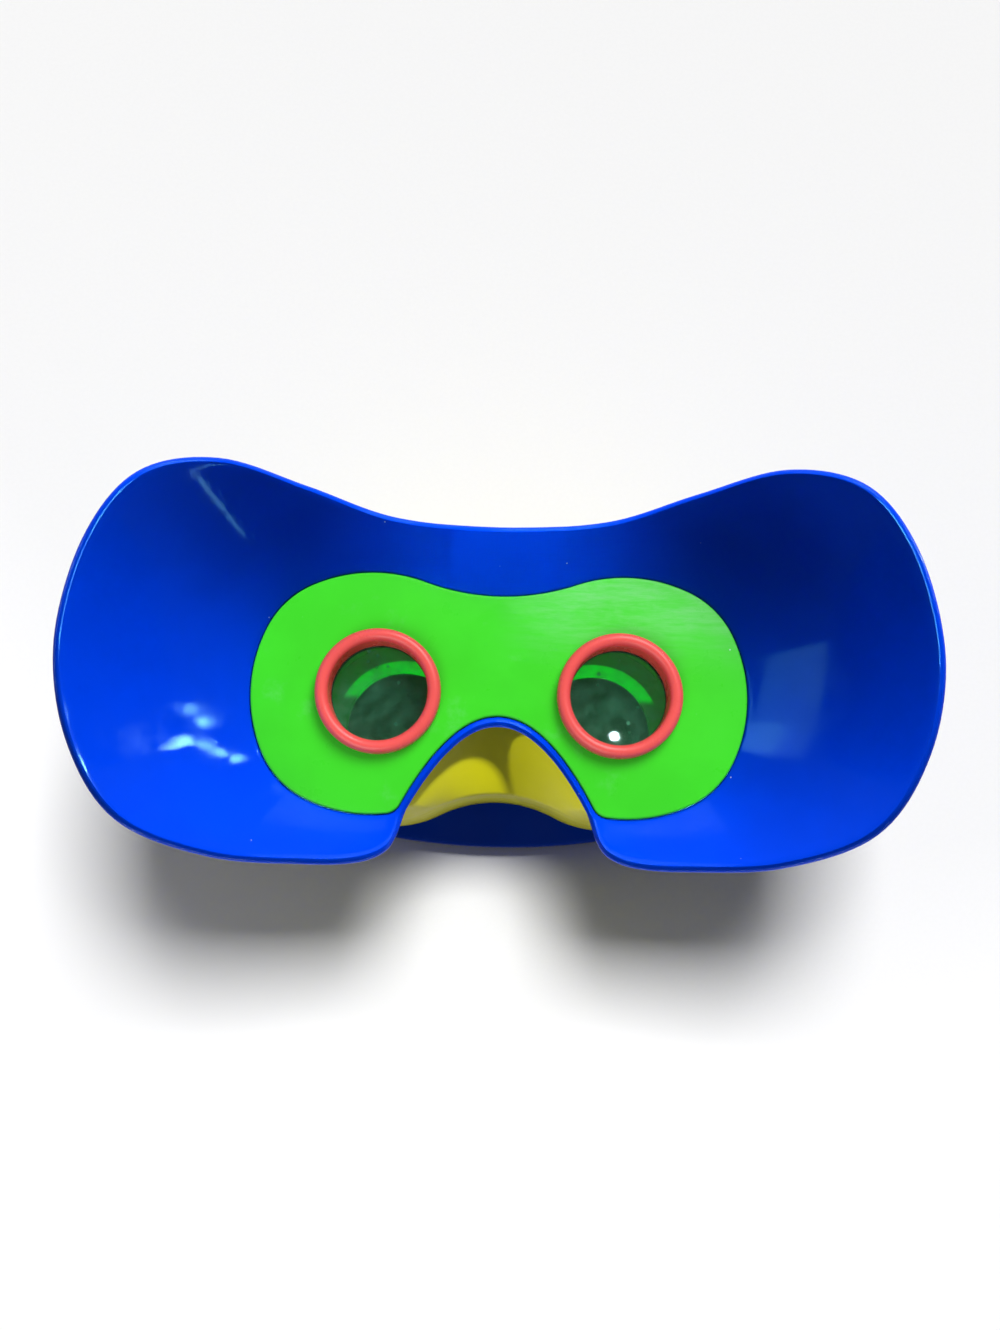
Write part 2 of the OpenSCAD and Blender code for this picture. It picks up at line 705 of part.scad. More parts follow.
module focus_knob() {
    color("red")
        translate([0, knob_axis, hub_front])
            difference() {
                union() {
                    cylinder(r = screw_r + hub_wall, h = hub_length);
                    translate([0, 0, hub_side])
                        cylinder(r = knob_r, h = knob_w);
                }
                translate([0, 0, -overrun])
                    cylinder(r = screw_r, h = hub_length + 2 * overrun);
                for (i = [0:knob_grips - 1])
                    rotate(360 * i / knob_grips)
                        translate([knob_r, 0, hub_side - overrun])
                            cylinder(r = grip_r, h = knob_w + 2 * overrun);
            }
}

module focus_screw() {
    color("silver")
        translate([0, knob_axis, carriage_front - screw_spare])
            cylinder(r = screw_r, h = rear_bearing_level + bearing_t - carriage_front + 2 * screw_spare);
}

// Block under the forehead side of the housing that carries the focus screw
module bearing(level) {
    color("whitesmoke")
        translate([0, knob_axis, level])
            difference() {
                union() {
                    cylinder(r = nut_r, h = bearing_t);
                    translate([-nut_r, 0, 0])
                        cube([2 * nut_r, nut_r + nut_gap - fit, bearing_t]);
                }
                translate([0, 0, -overrun])
                    cylinder(r = screw_r + fit, h = bearing_t + 2 * overrun);
            }
}

// Bridge that carries both objective cells, with a nut for the screw and eyes for the guide rods
module lens_carriage() {
    bridge_low = guide_drop + guide_r + guide_wall;
    bridge_half = eye_x - cell_r + 2 * cell_wall;
    color("black")
        translate([0, 0, carriage_front])
            difference() {
                union() {
                    both_sides(eye_x)
                        cylinder(r = cell_r, h = cell_length);
                    translate([0, knob_axis, 0])
                        cylinder(r = nut_r, h = cell_length);
                    translate([-bridge_half, -bridge_low, (cell_length - bridge_t) / 2])
                        cube([2 * bridge_half, bridge_low + knob_axis, bridge_t]);
                }
                both_sides(eye_x) {
                    translate([0, 0, -overrun])
                        cylinder(r = objective_r + fit, h = cell_length + overrun - cell_lip_t);
                    cylinder(r = objective_r - cell_lip, h = cell_length + overrun);
                }
                translate([0, knob_axis, -overrun])
                    cylinder(r = screw_r + fit, h = cell_length + 2 * overrun);
                both_sides(guide_x)
                    translate([0, -guide_drop, -overrun])
                        cylinder(r = guide_r + fit, h = cell_length + 2 * overrun);
            }
}

module objective_lens(side) {
    color("paleturquoise", 0.5)
        translate([side * eye_x, 0, carriage_back - cell_lip_t])
            rotate([180, 0, 0])
                lens(objective_r, objective_t, objective_curve);
}

module objective_retainer(side) {
    lens_t = lens_depth_at(objective_r - retainer_wall, objective_t, objective_curve);
    color("dimgray")
        translate([side * eye_x, 0, carriage_front])
            ring_band(objective_r, retainer_wall, cell_length - cell_lip_t - lens_t);
}

module guide_rod(side) {
    color("silver")
        translate([side * guide_x, -guide_drop, bezel_t - guide_seat])
            cylinder(r = guide_r, h = guide_seat + carriage_back + carriage_travel + guide_spare - bezel_t);
}

face_shield();
face_plate();
eye_ring(-1);  // left_eye_ring
eye_ring(1);  // right_eye_ring
eye_lens(-1);  // left_eye_lens
eye_lens(1);  // right_eye_lens
eye_retainer(-1);  // left_eye_retainer
eye_retainer(1);  // right_eye_retainer
sight_tube(-1);  // left_sight_tube
sight_tube(1);  // right_sight_tube
shield_screws();
upper_body_shell();
lower_body_shell();
body_screws();
front_bezel();
bezel_screws();
focus_knob();
focus_screw();
bearing(front_bearing_level);  // front_bearing
bearing(rear_bearing_level);  // rear_bearing
lens_carriage();
objective_lens(-1);  // left_objective_lens
objective_lens(1);  // right_objective_lens
objective_retainer(-1);  // left_objective_retainer
objective_retainer(1);  // right_objective_retainer
guide_rod(-1);  // left_guide_rod
guide_rod(1);  // right_guide_rod
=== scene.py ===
import math

import bmesh
import bpy
from mathutils import Color, Matrix, Vector


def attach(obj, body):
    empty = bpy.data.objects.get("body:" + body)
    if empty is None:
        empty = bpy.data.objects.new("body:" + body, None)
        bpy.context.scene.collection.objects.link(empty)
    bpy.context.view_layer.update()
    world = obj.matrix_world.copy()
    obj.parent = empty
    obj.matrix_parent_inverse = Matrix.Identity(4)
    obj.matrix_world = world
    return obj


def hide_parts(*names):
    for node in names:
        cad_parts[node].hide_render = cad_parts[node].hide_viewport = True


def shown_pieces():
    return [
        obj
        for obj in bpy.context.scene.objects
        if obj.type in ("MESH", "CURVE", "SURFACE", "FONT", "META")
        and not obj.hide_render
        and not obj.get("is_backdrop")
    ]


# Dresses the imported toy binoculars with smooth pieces, finishes, light and the photograph's camera.
# Lengths are in millimetres, as in the part's source, and become metres where a mesh or a light is made.
MM = 0.001
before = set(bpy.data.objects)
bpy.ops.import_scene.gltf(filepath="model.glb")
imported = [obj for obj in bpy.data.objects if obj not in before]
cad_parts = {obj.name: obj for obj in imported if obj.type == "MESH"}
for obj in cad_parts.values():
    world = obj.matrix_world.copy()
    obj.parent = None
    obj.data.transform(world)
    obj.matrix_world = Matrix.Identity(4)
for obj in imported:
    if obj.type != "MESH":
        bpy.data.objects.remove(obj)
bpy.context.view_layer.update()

# Sizes that the part's source also has
EYE_X = 28.0
RING_R = 14.6
RING_ROLL = 3.1
RING_RISE = 3.6
LENS_DEPTH = 8.5
NECK_WALL = 1.9
LENS_LAP = 0.7
EYE_LENS_T = 3.0
EYE_LENS_CURVE = 48.0
NECK_SPARE = 2.5
RETAINER_WALL = 1.4
TUBE_WALL = 1.6
TUBE_STEP = 3.5
TUBE_STEP_T = 2.4
LOBE_X = 29.5
PLATE_LOBE_R = 28.3
LOBE_FLAT_R = 35.0
LOBE_FLAT_ANGLE = 25.0
PLATE_DIP = 23.2
ARCH_CROWN = 5.1
ARCH_HALF_WIDTH = 23.2
ARCH_HEIGHT = 22.5
PLATE_CORNER_R = 4.0
PLATE_T = 2.2
PLATE_RISE = 0.8
PLATE_EDGE = 0.6
PLATE_POST_R = 2.2
SHIELD_LEVEL = 85.0
RIM_HALF_WIDTH = 92.2
RIM_BROW = 47.4
RIM_DROP = 40.0
BOWL_START_SLOPE = 38.0
BOWL_END_SLOPE = 61.0
BOWL_REACH = 36.0
SHIELD_WALL = 2.2
RIM_BEAD_R = 1.4
CROWN_BAND = 2.5
FOOT_BAND = 1.9
LEDGE_W = 3.0
LEDGE_T = 2.0
BODY_WALL = 2.2
BARREL_R = 29.2
UPPER_WAIST = 20.0
LOWER_WAIST = 22.0
SHOULDER_LENGTH = 22.0
REAR_INSET = 1.0
LIP_W = 8.0
LIP_T = 2.0
BODY_POST_R = 3.2
BODY_POST_INSET = 7.2
BEZEL_W = 150.0
BEZEL_D = 69.0
BEZEL_END_R = 27.0
BEZEL_T = 13.0
BEZEL_EDGE = 1.2
OPENING_R = 19.0
OPENING_FLARE = 1.5
KNOB_R = 12.5
KNOB_W = 14.0
KNOB_GRIPS = 20
SCREW_R = 3.0
SCREW_LEAD = 6.0
BEARING_T = 5.0
NUT_WALL = 2.0
NUT_GAP = 0.6
CARRIAGE_TRAVEL = 2.5
CARRIAGE_GAP = 4.0
BEARING_GAP = 1.5
CELL_LENGTH = 8.0
CELL_LIP_T = 1.0
OBJECTIVE_R = 17.5
OBJECTIVE_T = 4.0
OBJECTIVE_CURVE = 70.0
HUB_SIDE = 4.3
HUB_WALL = 2.0
SLOT_GAP = 1.0
SHANK_R = 1.25
HEAD_R = 2.1
HEAD_T = 1.6
FIT = 0.05
SEAT_GAP = 0.25
END_PLAY = 0.2
BEZEL_BOSS_R = 3.0
BEZEL_BOSS_T = 6.0
BEZEL_HEAD_SINK = 3.0
TIP_COVER = 0.8
SCREW_SPARE = 1.5
PLATE_POST_ANGLE = 45.0
BEZEL_SCREW_ANGLE = 50.0
BODY_SCREW_SHARES = (0.34, 0.74)
BODY_POST_SHARE = 0.46
BODY_HEAD_SHARE = 0.31
BODY_TIP_SHARE = 0.28
BAND_LEAD_SHARE = 0.8
LEAST_FRONT = 0.4
RIM_X_SHARES = (0, 0.26, 0.477, 0.672, 0.84, 0.95, 1, 0.968, 0.862, 0.672, 0.456, 0.338, 0.276, 0.249)
RIM_Y_SHARES = (0.789, 0.838, 0.945, 1, 0.874, 0.554, 0.107, -0.38, -0.787, -0.97, -1, -0.985, -0.93, -0.845)

# Sizes that follow from them
PLATE_TOP = SHIELD_LEVEL + PLATE_RISE
LEDGE_TOP = PLATE_TOP - PLATE_T
BODY_REAR = LEDGE_TOP - LEDGE_T
BODY_FRONT = BEZEL_T
SHOULDER_LEVEL = BODY_REAR - SHOULDER_LENGTH
LIP_LEVEL = BODY_REAR - LIP_T
CARRIAGE_FRONT = BODY_FRONT + CARRIAGE_GAP
CARRIAGE_BACK = CARRIAGE_FRONT + CELL_LENGTH
FRONT_BEARING_LEVEL = CARRIAGE_BACK + CARRIAGE_TRAVEL + BEARING_GAP
HUB_FRONT = FRONT_BEARING_LEVEL + BEARING_T + END_PLAY
HUB_LENGTH = KNOB_W + 2 * HUB_SIDE
REAR_BEARING_LEVEL = HUB_FRONT + HUB_LENGTH + END_PLAY
TUBE_FRONT = FRONT_BEARING_LEVEL + BEARING_T
RING_CREST = PLATE_TOP + RING_RISE
LENS_TOP = RING_CREST - LENS_DEPTH
LENS_SEAT = LENS_TOP - EYE_LENS_T
NECK_END = LENS_SEAT - NECK_SPARE
RING_OPEN_R = RING_R - RING_ROLL
NECK_R = RING_OPEN_R + NECK_WALL
EYE_LENS_R = RING_OPEN_R + LENS_LAP
TUBE_BORE_R = NECK_R + FIT
TUBE_LIP_R = TUBE_BORE_R - TUBE_STEP
NUT_R = SCREW_R + NUT_WALL
KNOB_AXIS = UPPER_WAIST - BODY_WALL - NUT_GAP - NUT_R
SLOPE_RATE = (BOWL_END_SLOPE - BOWL_START_SLOPE) / BOWL_REACH
BEAD_SWELL = SHIELD_WALL / RIM_BEAD_R / 2

# Fineness of the smooth pieces
FINE = 4
DIP_STEPS = 6 * FINE
UPPER_STEPS = 12 * FINE
LOWER_STEPS = 7 * FINE
CORNER_STEPS = 3 * FINE
ARCH_STEPS = 8 * FINE
SIDE_STATION = DIP_STEPS + UPPER_STEPS
RIM_STEPS = 10
FRONT_STEPS = 28
BEAD_STEPS = 14
ROUND_STEPS = 6
TURN_STEPS = 128
SMALL_TURN_STEPS = 32
LENS_STEPS = 32

# Roundings and small gaps that only the smooth pieces have, and how far cuts run past a surface
GROOVE_ROUND = 0.45
GROOVE_ROUND_SHARE = 0.4
SHOULDER_ROUND = 1.0
SEAM_GAP = 0.1
RING_FOOT_ROUND = 0.35
FINE_ROUND = 0.2
LIP_BEAD = 1.1
EYE_RETAINER_WALL = 0.8
OVERRUN = 1.0

# Rounds of halving, and how dense a slab's inner edges are beside its outline
HALVINGS = 30
BRIDGE_STATIONS = 6
MERGE_DISTANCE = 1e-7
SHARP_ANGLE = math.radians(32)


def mix(low, high, share):
    return low + (high - low) * share


def polar(radius, degrees):
    angle = math.radians(degrees)
    return Vector((radius * math.cos(angle), radius * math.sin(angle)))


def flip(point):
    return Vector((-point.x, point.y))


LOBE = Vector((LOBE_X, 0))
PLATE_POST = LOBE + polar(PLATE_LOBE_R - LEDGE_W - SEAT_GAP - PLATE_POST_R, PLATE_POST_ANGLE)
BEZEL_SCREW = LOBE + polar(BARREL_R - BODY_WALL / 2 - BEZEL_BOSS_R, BEZEL_SCREW_ANGLE)
BODY_POST_X = LOBE_X + BARREL_R - BODY_POST_INSET
BODY_SCREW_LEVELS = [mix(BODY_FRONT, BODY_REAR, share) for share in BODY_SCREW_SHARES]


def arc(centre, radius, start, end, steps, side=1, first=1):
    """Points on an arc with their outward directions; side is -1 where the outline is hollow."""
    stations = []
    for i in range(first, steps + 1):
        direction = polar(1, mix(start, end, i / steps))
        stations.append((centre + direction * radius, direction * side))
    return stations


def waist_arc(centre, radius, waist):
    """Radius and angle of the hollow arc that crosses the middle at a height and touches the circle."""
    drop = waist - centre.y
    hollow_r = (centre.x ** 2 + drop ** 2 - radius ** 2) / (2 * (radius - drop))
    return hollow_r, math.degrees(math.atan2(centre.x, drop + hollow_r))


def arch_point(x):
    return Vector((x, -ARCH_CROWN - ARCH_HEIGHT * (x / ARCH_HALF_WIDTH) ** 2))


def arch_outward(x):
    return Vector((-2 * ARCH_HEIGHT * x / ARCH_HALF_WIDTH ** 2, -1)).normalized()


def corner_centre(x):
    return arch_point(x) - arch_outward(x) * PLATE_CORNER_R


def find_arch_end():
    """Place on the arch where the corner's arc also touches the lobe, found by halving."""
    low = ARCH_HALF_WIDTH / 2
    high = LOBE_X
    for _ in range(HALVINGS):
        middle = (low + high) / 2
        inside = (corner_centre(middle) - LOBE_FOOT).length < LOBE_FLAT_R - PLATE_CORNER_R
        low, high = (middle, high) if inside else (low, middle)
    return (low + high) / 2


# A lobe of the plate is a rounded square: flat arcs at its head, side and foot, and rounder arcs between
LOBE_FLAT_SHIFT = PLATE_LOBE_R - LOBE_FLAT_R
LOBE_HEAD = LOBE + Vector((0, LOBE_FLAT_SHIFT))
LOBE_SIDE = LOBE + Vector((LOBE_FLAT_SHIFT, 0))
LOBE_FOOT = LOBE - Vector((0, LOBE_FLAT_SHIFT))
LOBE_ROUND_LOSS = -LOBE_FLAT_SHIFT / (polar(1, LOBE_FLAT_ANGLE).x - polar(1, LOBE_FLAT_ANGLE).y)
LOBE_ROUND_R = LOBE_FLAT_R - LOBE_ROUND_LOSS
LOBE_ROUND_SHIFT = polar(LOBE_ROUND_LOSS, LOBE_FLAT_ANGLE).y
LOBE_SHOULDER = LOBE + Vector((LOBE_ROUND_SHIFT, LOBE_ROUND_SHIFT))
LOBE_HIP = LOBE + Vector((LOBE_ROUND_SHIFT, -LOBE_ROUND_SHIFT))
ARCH_END = find_arch_end()
ARCH_X = [ARCH_END * (1 - i / ARCH_STEPS) for i in range(ARCH_STEPS + 1)]
CORNER = corner_centre(ARCH_END)
CORNER_FROM = math.degrees(math.atan2(CORNER.y - LOBE_FOOT.y, CORNER.x - LOBE_FOOT.x))
CORNER_TO = math.degrees(math.atan2(arch_outward(ARCH_END).y, arch_outward(ARCH_END).x))
DIP_R, DIP_ANGLE = waist_arc(LOBE_HEAD, LOBE_FLAT_R, PLATE_DIP)
DIP_CENTRE = Vector((0, PLATE_DIP + DIP_R))
# Arcs of the plate's outline from the dip down to the arch: centre, radius, first and last angle, steps
PLATE_ARCS = (
    (LOBE_HEAD, LOBE_FLAT_R, 90 + DIP_ANGLE, 90 - LOBE_FLAT_ANGLE, 5 * FINE),
    (LOBE_SHOULDER, LOBE_ROUND_R, 90 - LOBE_FLAT_ANGLE, LOBE_FLAT_ANGLE, 4 * FINE),
    (LOBE_SIDE, LOBE_FLAT_R, LOBE_FLAT_ANGLE, 0, 3 * FINE),
    (LOBE_SIDE, LOBE_FLAT_R, 0, -LOBE_FLAT_ANGLE, 2 * FINE),
    (LOBE_HIP, LOBE_ROUND_R, -LOBE_FLAT_ANGLE, LOBE_FLAT_ANGLE - 90, 3 * FINE),
    (LOBE_FOOT, LOBE_FLAT_R, LOBE_FLAT_ANGLE - 90, CORNER_FROM, 2 * FINE),
    (CORNER, PLATE_CORNER_R, CORNER_FROM, CORNER_TO, CORNER_STEPS),
)


def plate_outline():
    """Right half of the plate's outline, from the dip round to the crown of the nose arch."""
    outline = arc(DIP_CENTRE, DIP_R, -90, DIP_ANGLE - 90, DIP_STEPS, side=-1, first=0)
    for row in PLATE_ARCS:
        outline += arc(*row)
    return outline + [(arch_point(x), arch_outward(x)) for x in ARCH_X[1:]]


def barrel_outline():
    """Right half of the barrels' outline, with as many stations as the plate's."""
    upper_r, upper_angle = waist_arc(LOBE, BARREL_R, UPPER_WAIST)
    lower_r, lower_angle = waist_arc(LOBE, BARREL_R, LOWER_WAIST)
    upper_middle = Vector((0, UPPER_WAIST + upper_r))
    lower_middle = Vector((0, -LOWER_WAIST - lower_r))
    return (arc(upper_middle, upper_r, -90, upper_angle - 90, DIP_STEPS, side=-1, first=0)
            + arc(LOBE, BARREL_R, 90 + upper_angle, 0, UPPER_STEPS)
            + arc(LOBE, BARREL_R, 0, -90 - lower_angle, LOWER_STEPS + CORNER_STEPS)
            + arc(lower_middle, lower_r, 90 - lower_angle, 90, ARCH_STEPS, side=-1))


def bezel_outline():
    """Right half of the bezel's oval: a round end between two long flat arcs."""
    end_x = BEZEL_W / 2 - BEZEL_END_R
    rise = BEZEL_D / 2 - BEZEL_END_R
    flat_r = (end_x ** 2 + rise ** 2) / (2 * rise) + BEZEL_END_R
    flat_y = BEZEL_D / 2 - flat_r
    angle = math.degrees(math.atan2(end_x, -flat_y))
    return (arc(Vector((0, flat_y)), flat_r, 90, 90 - angle, UPPER_STEPS, first=0)
            + arc(Vector((end_x, 0)), BEZEL_END_R, 90 - angle, angle - 90, 2 * UPPER_STEPS)
            + arc(Vector((0, -flat_y)), flat_r, angle - 90, -90, UPPER_STEPS))


PLATE_HALF = plate_outline()
BARREL_HALF = barrel_outline()
BEZEL_HALF = bezel_outline()


def inset(station, amount):
    return station[0] - station[1] * amount


def rounded(corners):
    """Closed outline through corners of (x, y, rounding), with an arc at each rounded corner."""
    outline = []
    for i, (x, y, radius) in enumerate(corners):
        corner = Vector((x, y))
        if radius == 0:
            outline.append(corner)
            continue
        before = (Vector(corners[i - 1][:2]) - corner).normalized()
        after = (Vector(corners[(i + 1) % len(corners)][:2]) - corner).normalized()
        half = before.angle(after) / 2
        centre = corner + (before + after).normalized() * radius / math.sin(half)
        start = corner + before * radius / math.tan(half) - centre
        end = corner + after * radius / math.tan(half) - centre
        for k in range(ROUND_STEPS + 1):
            outline.append(centre + start.slerp(end, k / ROUND_STEPS).normalized() * radius)
    return outline


def sweep(sections, closed):
    """Skin over a row of closed sections; a row that doesn't close gets a face at each end."""
    size = len(sections[0])
    count = len(sections)
    points = [tuple(point) for section in sections for point in section]
    faces = []
    for j in range(count if closed else count - 1):
        for i in range(size):
            here, beyond = j * size, (j + 1) % count * size
            beside = (i + 1) % size
            faces.append((here + i, here + beside, beyond + beside, beyond + i))
    if not closed:
        faces.append(tuple(range(size)))
        faces.append(tuple((count - 1) * size + i for i in range(size)))
    return points, faces


def spun(profile_at, steps):
    """Skin over sections round Z; profile_at gives the closed outline of (radius, height) at each step."""
    sections = []
    for i in range(steps):
        direction = polar(1, 360 * i / steps)
        sections.append([(direction.x * r, direction.y * r, z) for r, z in profile_at(i)])
    return sweep(sections, True)


def turned(profile, steps=TURN_STEPS):
    return spun(lambda i: profile, steps)


def at(shape, x=0.0, y=0.0, z=0.0, turn=Matrix.Identity(3)):
    """The shape turned by a matrix and moved."""
    points, faces = shape
    move = Vector((x, y, z))
    return [tuple(turn @ Vector(point) + move) for point in points], faces


def joined(shapes):
    points, faces = [], []
    for shape_points, shape_faces in shapes:
        start = len(points)
        points += shape_points
        faces += [tuple(start + i for i in face) for face in shape_faces]
    return points, faces


def in_scene(name, data):
    made = bpy.data.objects.new(name, data)
    bpy.context.scene.collection.objects.link(made)
    return made


def raw(name, shape):
    """A mesh object from a shape in millimetres, with doubled points merged and faces turned outward."""
    points, faces = shape
    mesh = bpy.data.meshes.new(name)
    mesh.from_pydata([(x * MM, y * MM, z * MM) for x, y, z in points], [], faces)
    work = bmesh.new()
    work.from_mesh(mesh)
    bmesh.ops.remove_doubles(work, verts=work.verts, dist=MERGE_DISTANCE)
    bmesh.ops.dissolve_degenerate(work, edges=work.edges, dist=MERGE_DISTANCE)
    bmesh.ops.recalc_face_normals(work, faces=work.faces)
    work.to_mesh(mesh)
    work.free()
    return in_scene(name, mesh)


def copies(name, shape, places):
    """A mesh object of the shape at each place: x, y and, if need be, z and a turn."""
    return [raw(name, at(shape, *place)) for place in places]


def combine(base, others, operation):
    """The base object cut by the others or joined with them, which are used up."""
    for other in others:
        step = base.modifiers.new(operation.lower(), "BOOLEAN")
        step.object = other
        step.operation = operation
        step.solver = "EXACT"
    graph = bpy.context.evaluated_depsgraph_get()
    mesh = bpy.data.meshes.new_from_object(base.evaluated_get(graph))
    base.modifiers.clear()
    base.data = mesh
    for other in others:
        bpy.data.objects.remove(other)
    return base


# A finish is named after its material slot; the lenses have two finishes in one slot
FINISH_ENDING = "_finish"


def finished(made, material, body, *nodes):
    """Smooth shading, a finish and a body for a piece that stands for these nodes."""
    made.data.shade_smooth()
    made.data.set_sharp_from_angle(angle=SHARP_ANGLE)
    made.data.materials.clear()
    made.data.materials.append(material)
    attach(made, body)
    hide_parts(*nodes)
    return made


# Finishes

WHITE = (1.0, 1.0, 1.0, 1.0)


def srgb(*levels):
    """A display colour with levels of 0 to 255 as the linear colour that a shader takes."""
    return tuple(Color([level / 255 for level in levels]).from_srgb_to_scene_linear()) + (1.0,)


def shade(colour, share):
    return tuple(min(1.0, value * share) for value in colour[:3]) + (1.0,)


def mixed(first, second, share):
    return tuple(mix(a, b, share) for a, b in zip(first[:3], second[:3])) + (1.0,)


PALE_SCUFF = srgb(225, 235, 245)
BLUE = (0.0, 0.055, 0.85, 1.0)
BLUE_SHEEN = (0.12, 0.7, 1.0, 1.0)
NAVY = srgb(0, 22, 88)
GREEN = srgb(64, 224, 38)
RED = srgb(250, 92, 88)
YELLOW = srgb(214, 210, 8)
BLACK = srgb(38, 40, 42)
PALE = srgb(226, 226, 220)
# The sight tubes' green is darker than the plate's: painted shade for the inside of the tubes
DEEP_GREEN_PAINTED_SHADE = srgb(10, 80, 10)
DARK_STEEL = srgb(168, 168, 172)
LIGHT_STEEL = srgb(205, 205, 208)
PLASTIC_IOR = 1.49
# Corners of the worn patch on the plate, from no wear to all of it, and the most wear
WEAR_LOW = (-4.0, 4.0)
WEAR_HIGH = (16.0, 22.0)
WEAR = 0.32
# The lenses are bloomed, so they mirror little of the room; their shade is the light that they let through
EYE_TINT = srgb(214, 240, 226)
FRONT_TINT = srgb(240, 246, 242)
LENS_FILM = srgb(88, 182, 142)
LENS_BLUR = 0.03
LENS_SHEEN = (0.08, 0.12, 0.12, 1.0)
LENS_SHADE = (0.1, 0.14, 0.12, 1.0)
# Painted glow of the sight tubes, an emission where no lamp lights them: colours of bore and lip, the lip's
# width, and where along Y its glow sets in
BORE_PAINTED_GLOW = (0.007, 0.09, 0.003, 1.0)
LIP_PAINTED_GLOW = (0.0, 0.6, 0.012, 1.0)
GLOW_WIDTH = 1.8
GLOW_START = 4.2
GLOW_END = 5.4


class Nodes:
    """Short ways to add nodes to a tree. Inputs are named with _ for a space, and are values or outputs."""

    def __init__(self, tree):
        self.tree = tree

    def feed(self, socket, value):
        if isinstance(value, bpy.types.NodeSocket):
            self.tree.links.new(value, socket)
        else:
            socket.default_value = value

    def fill(self, node, **inputs):
        for name, value in inputs.items():
            self.feed(node.inputs[name.replace("_", " ")], value)
        return node

    def node(self, kind, **inputs):
        return self.fill(self.tree.nodes.new("ShaderNode" + kind), **inputs)

    def ramp(self, source, low, high, start=0.0, end=1.0):
        """The source from low to high, carried smoothly to start to end."""
        step = self.node("MapRange", Value=source, From_Min=low, From_Max=high, To_Min=start, To_Max=end)
        step.interpolation_type = "SMOOTHSTEP"
        return step.outputs["Result"]

    def maths(self, operation, first, second):
        step = self.node("Math")
        step.operation = operation
        self.feed(step.inputs[0], first)
        self.feed(step.inputs[1], second)
        return step.outputs[0]

    def product(self, first, *others):
        for other in others:
            first = self.maths("MULTIPLY", first, other)
        return first

    def blend(self, share, first, second):
        step = self.node("Mix")
        step.data_type = "RGBA"
        return self.fill(step, Factor=share, A=first, B=second).outputs["Result"]

    def shaders(self, share, first, second):
        """The second shader over the first by a share."""
        step = self.node("MixShader", Fac=share)
        self.feed(step.inputs[1], first)
        self.feed(step.inputs[2], second)
        return step.outputs[0]

    def background_seen(self):
        """One for the rays that look at the background: straight, mirrored or through glass."""
        rays = self.node("LightPath").outputs
        mirrored = self.maths("MAXIMUM", rays["Is Camera Ray"], rays["Is Glossy Ray"])
        return self.maths("MAXIMUM", mirrored, rays["Is Transmission Ray"])


class Finish(Nodes):
    """A material with a Principled shader, and textures with scales per metre."""

    def __init__(self, name):
        self.material = bpy.data.materials.new(name + FINISH_ENDING)
        self.material.use_nodes = True
        super().__init__(self.material.node_tree)
        self.tree.nodes.clear()
        self.shader = self.node("BsdfPrincipled")
        self.output = self.node("OutputMaterial", Surface=self.shader.outputs[0])
        self.place = self.node("TexCoord").outputs["Object"]

    def put(self, **inputs):
        self.fill(self.shader, **inputs)

    def noise(self, scale, detail=3.0, roughness=0.5, place=None):
        place = self.place if place is None else place
        texture = self.node("TexNoise", Vector=place, Scale=scale, Detail=detail, Roughness=roughness)
        return texture.outputs["Fac"]

    def stretched(self, scales, turns):
        """Places stretched along the axes, and turned about them by degrees."""
        turns = [math.radians(turn) for turn in turns]
        return self.node("Mapping", Vector=self.place, Scale=scales, Rotation=turns).outputs["Vector"]

    def cells(self, scale, output):
        return self.node("TexVoronoi", Vector=self.place, Scale=scale).outputs[output]

    def axis(self, name, source=None):
        source = self.place if source is None else source
        return self.node("SeparateXYZ", Vector=source).outputs[name]

    def bump(self, height, strength, distance):
        step = self.node("Bump", Strength=strength, Distance=distance * MM, Height=height)
        self.put(Normal=step.outputs[0])

    def specks(self, scale, size, share):
        """Sparse round specks: the few cells whose random value is high enough show their middle."""
        chosen = self.ramp(self.axis("X", self.cells(scale, "Color")), 1 - share, 1 - share / 2)
        return self.product(chosen, self.ramp(self.cells(scale, "Distance"), size, size / 2))


def plastic(name, colour, roughness, grain=0.06, dust=0.0, scuff=0.0, mottle=0.04, sheen=WHITE, shine=0.5):
    """Moulded plastic: faint mottling, handling marks in the gloss, fine hairlines, dust and scuffs."""
    finish = Finish(name)
    clouds = finish.ramp(finish.noise(scale=45, detail=4), low=0.35, high=0.65)
    base = finish.blend(clouds, shade(colour, 1 - mottle), shade(colour, 1 + mottle))
    if scuff:
        worn = finish.ramp(finish.noise(scale=70, detail=8, roughness=0.65), low=0.56, high=0.72, end=scuff)
        base = finish.blend(worn, base, mixed(colour, PALE_SCUFF, share=0.5))
    if dust:
        specks = finish.specks(scale=260, size=0.06, share=dust)
        base = finish.blend(specks, base, mixed(colour, PALE_SCUFF, share=0.7))
    drawn = finish.stretched(scales=(900, 60, 60), turns=(20, 30, 50))
    hairlines = finish.ramp(finish.noise(scale=1, detail=2, place=drawn), low=0.6, high=0.72, end=-1.5)
    smudges = finish.ramp(finish.noise(scale=110, detail=6, roughness=0.6), low=0.3, high=0.75,
                          start=roughness - 0.05, end=roughness + 0.09)
    finish.put(Base_Color=base, Roughness=smudges, IOR=PLASTIC_IOR, Specular_Tint=sheen,
               Specular_IOR_Level=shine)
    height = finish.maths("ADD", finish.noise(scale=1400, detail=2), hairlines)
    finish.bump(height, strength=grain, distance=0.05)
    return finish


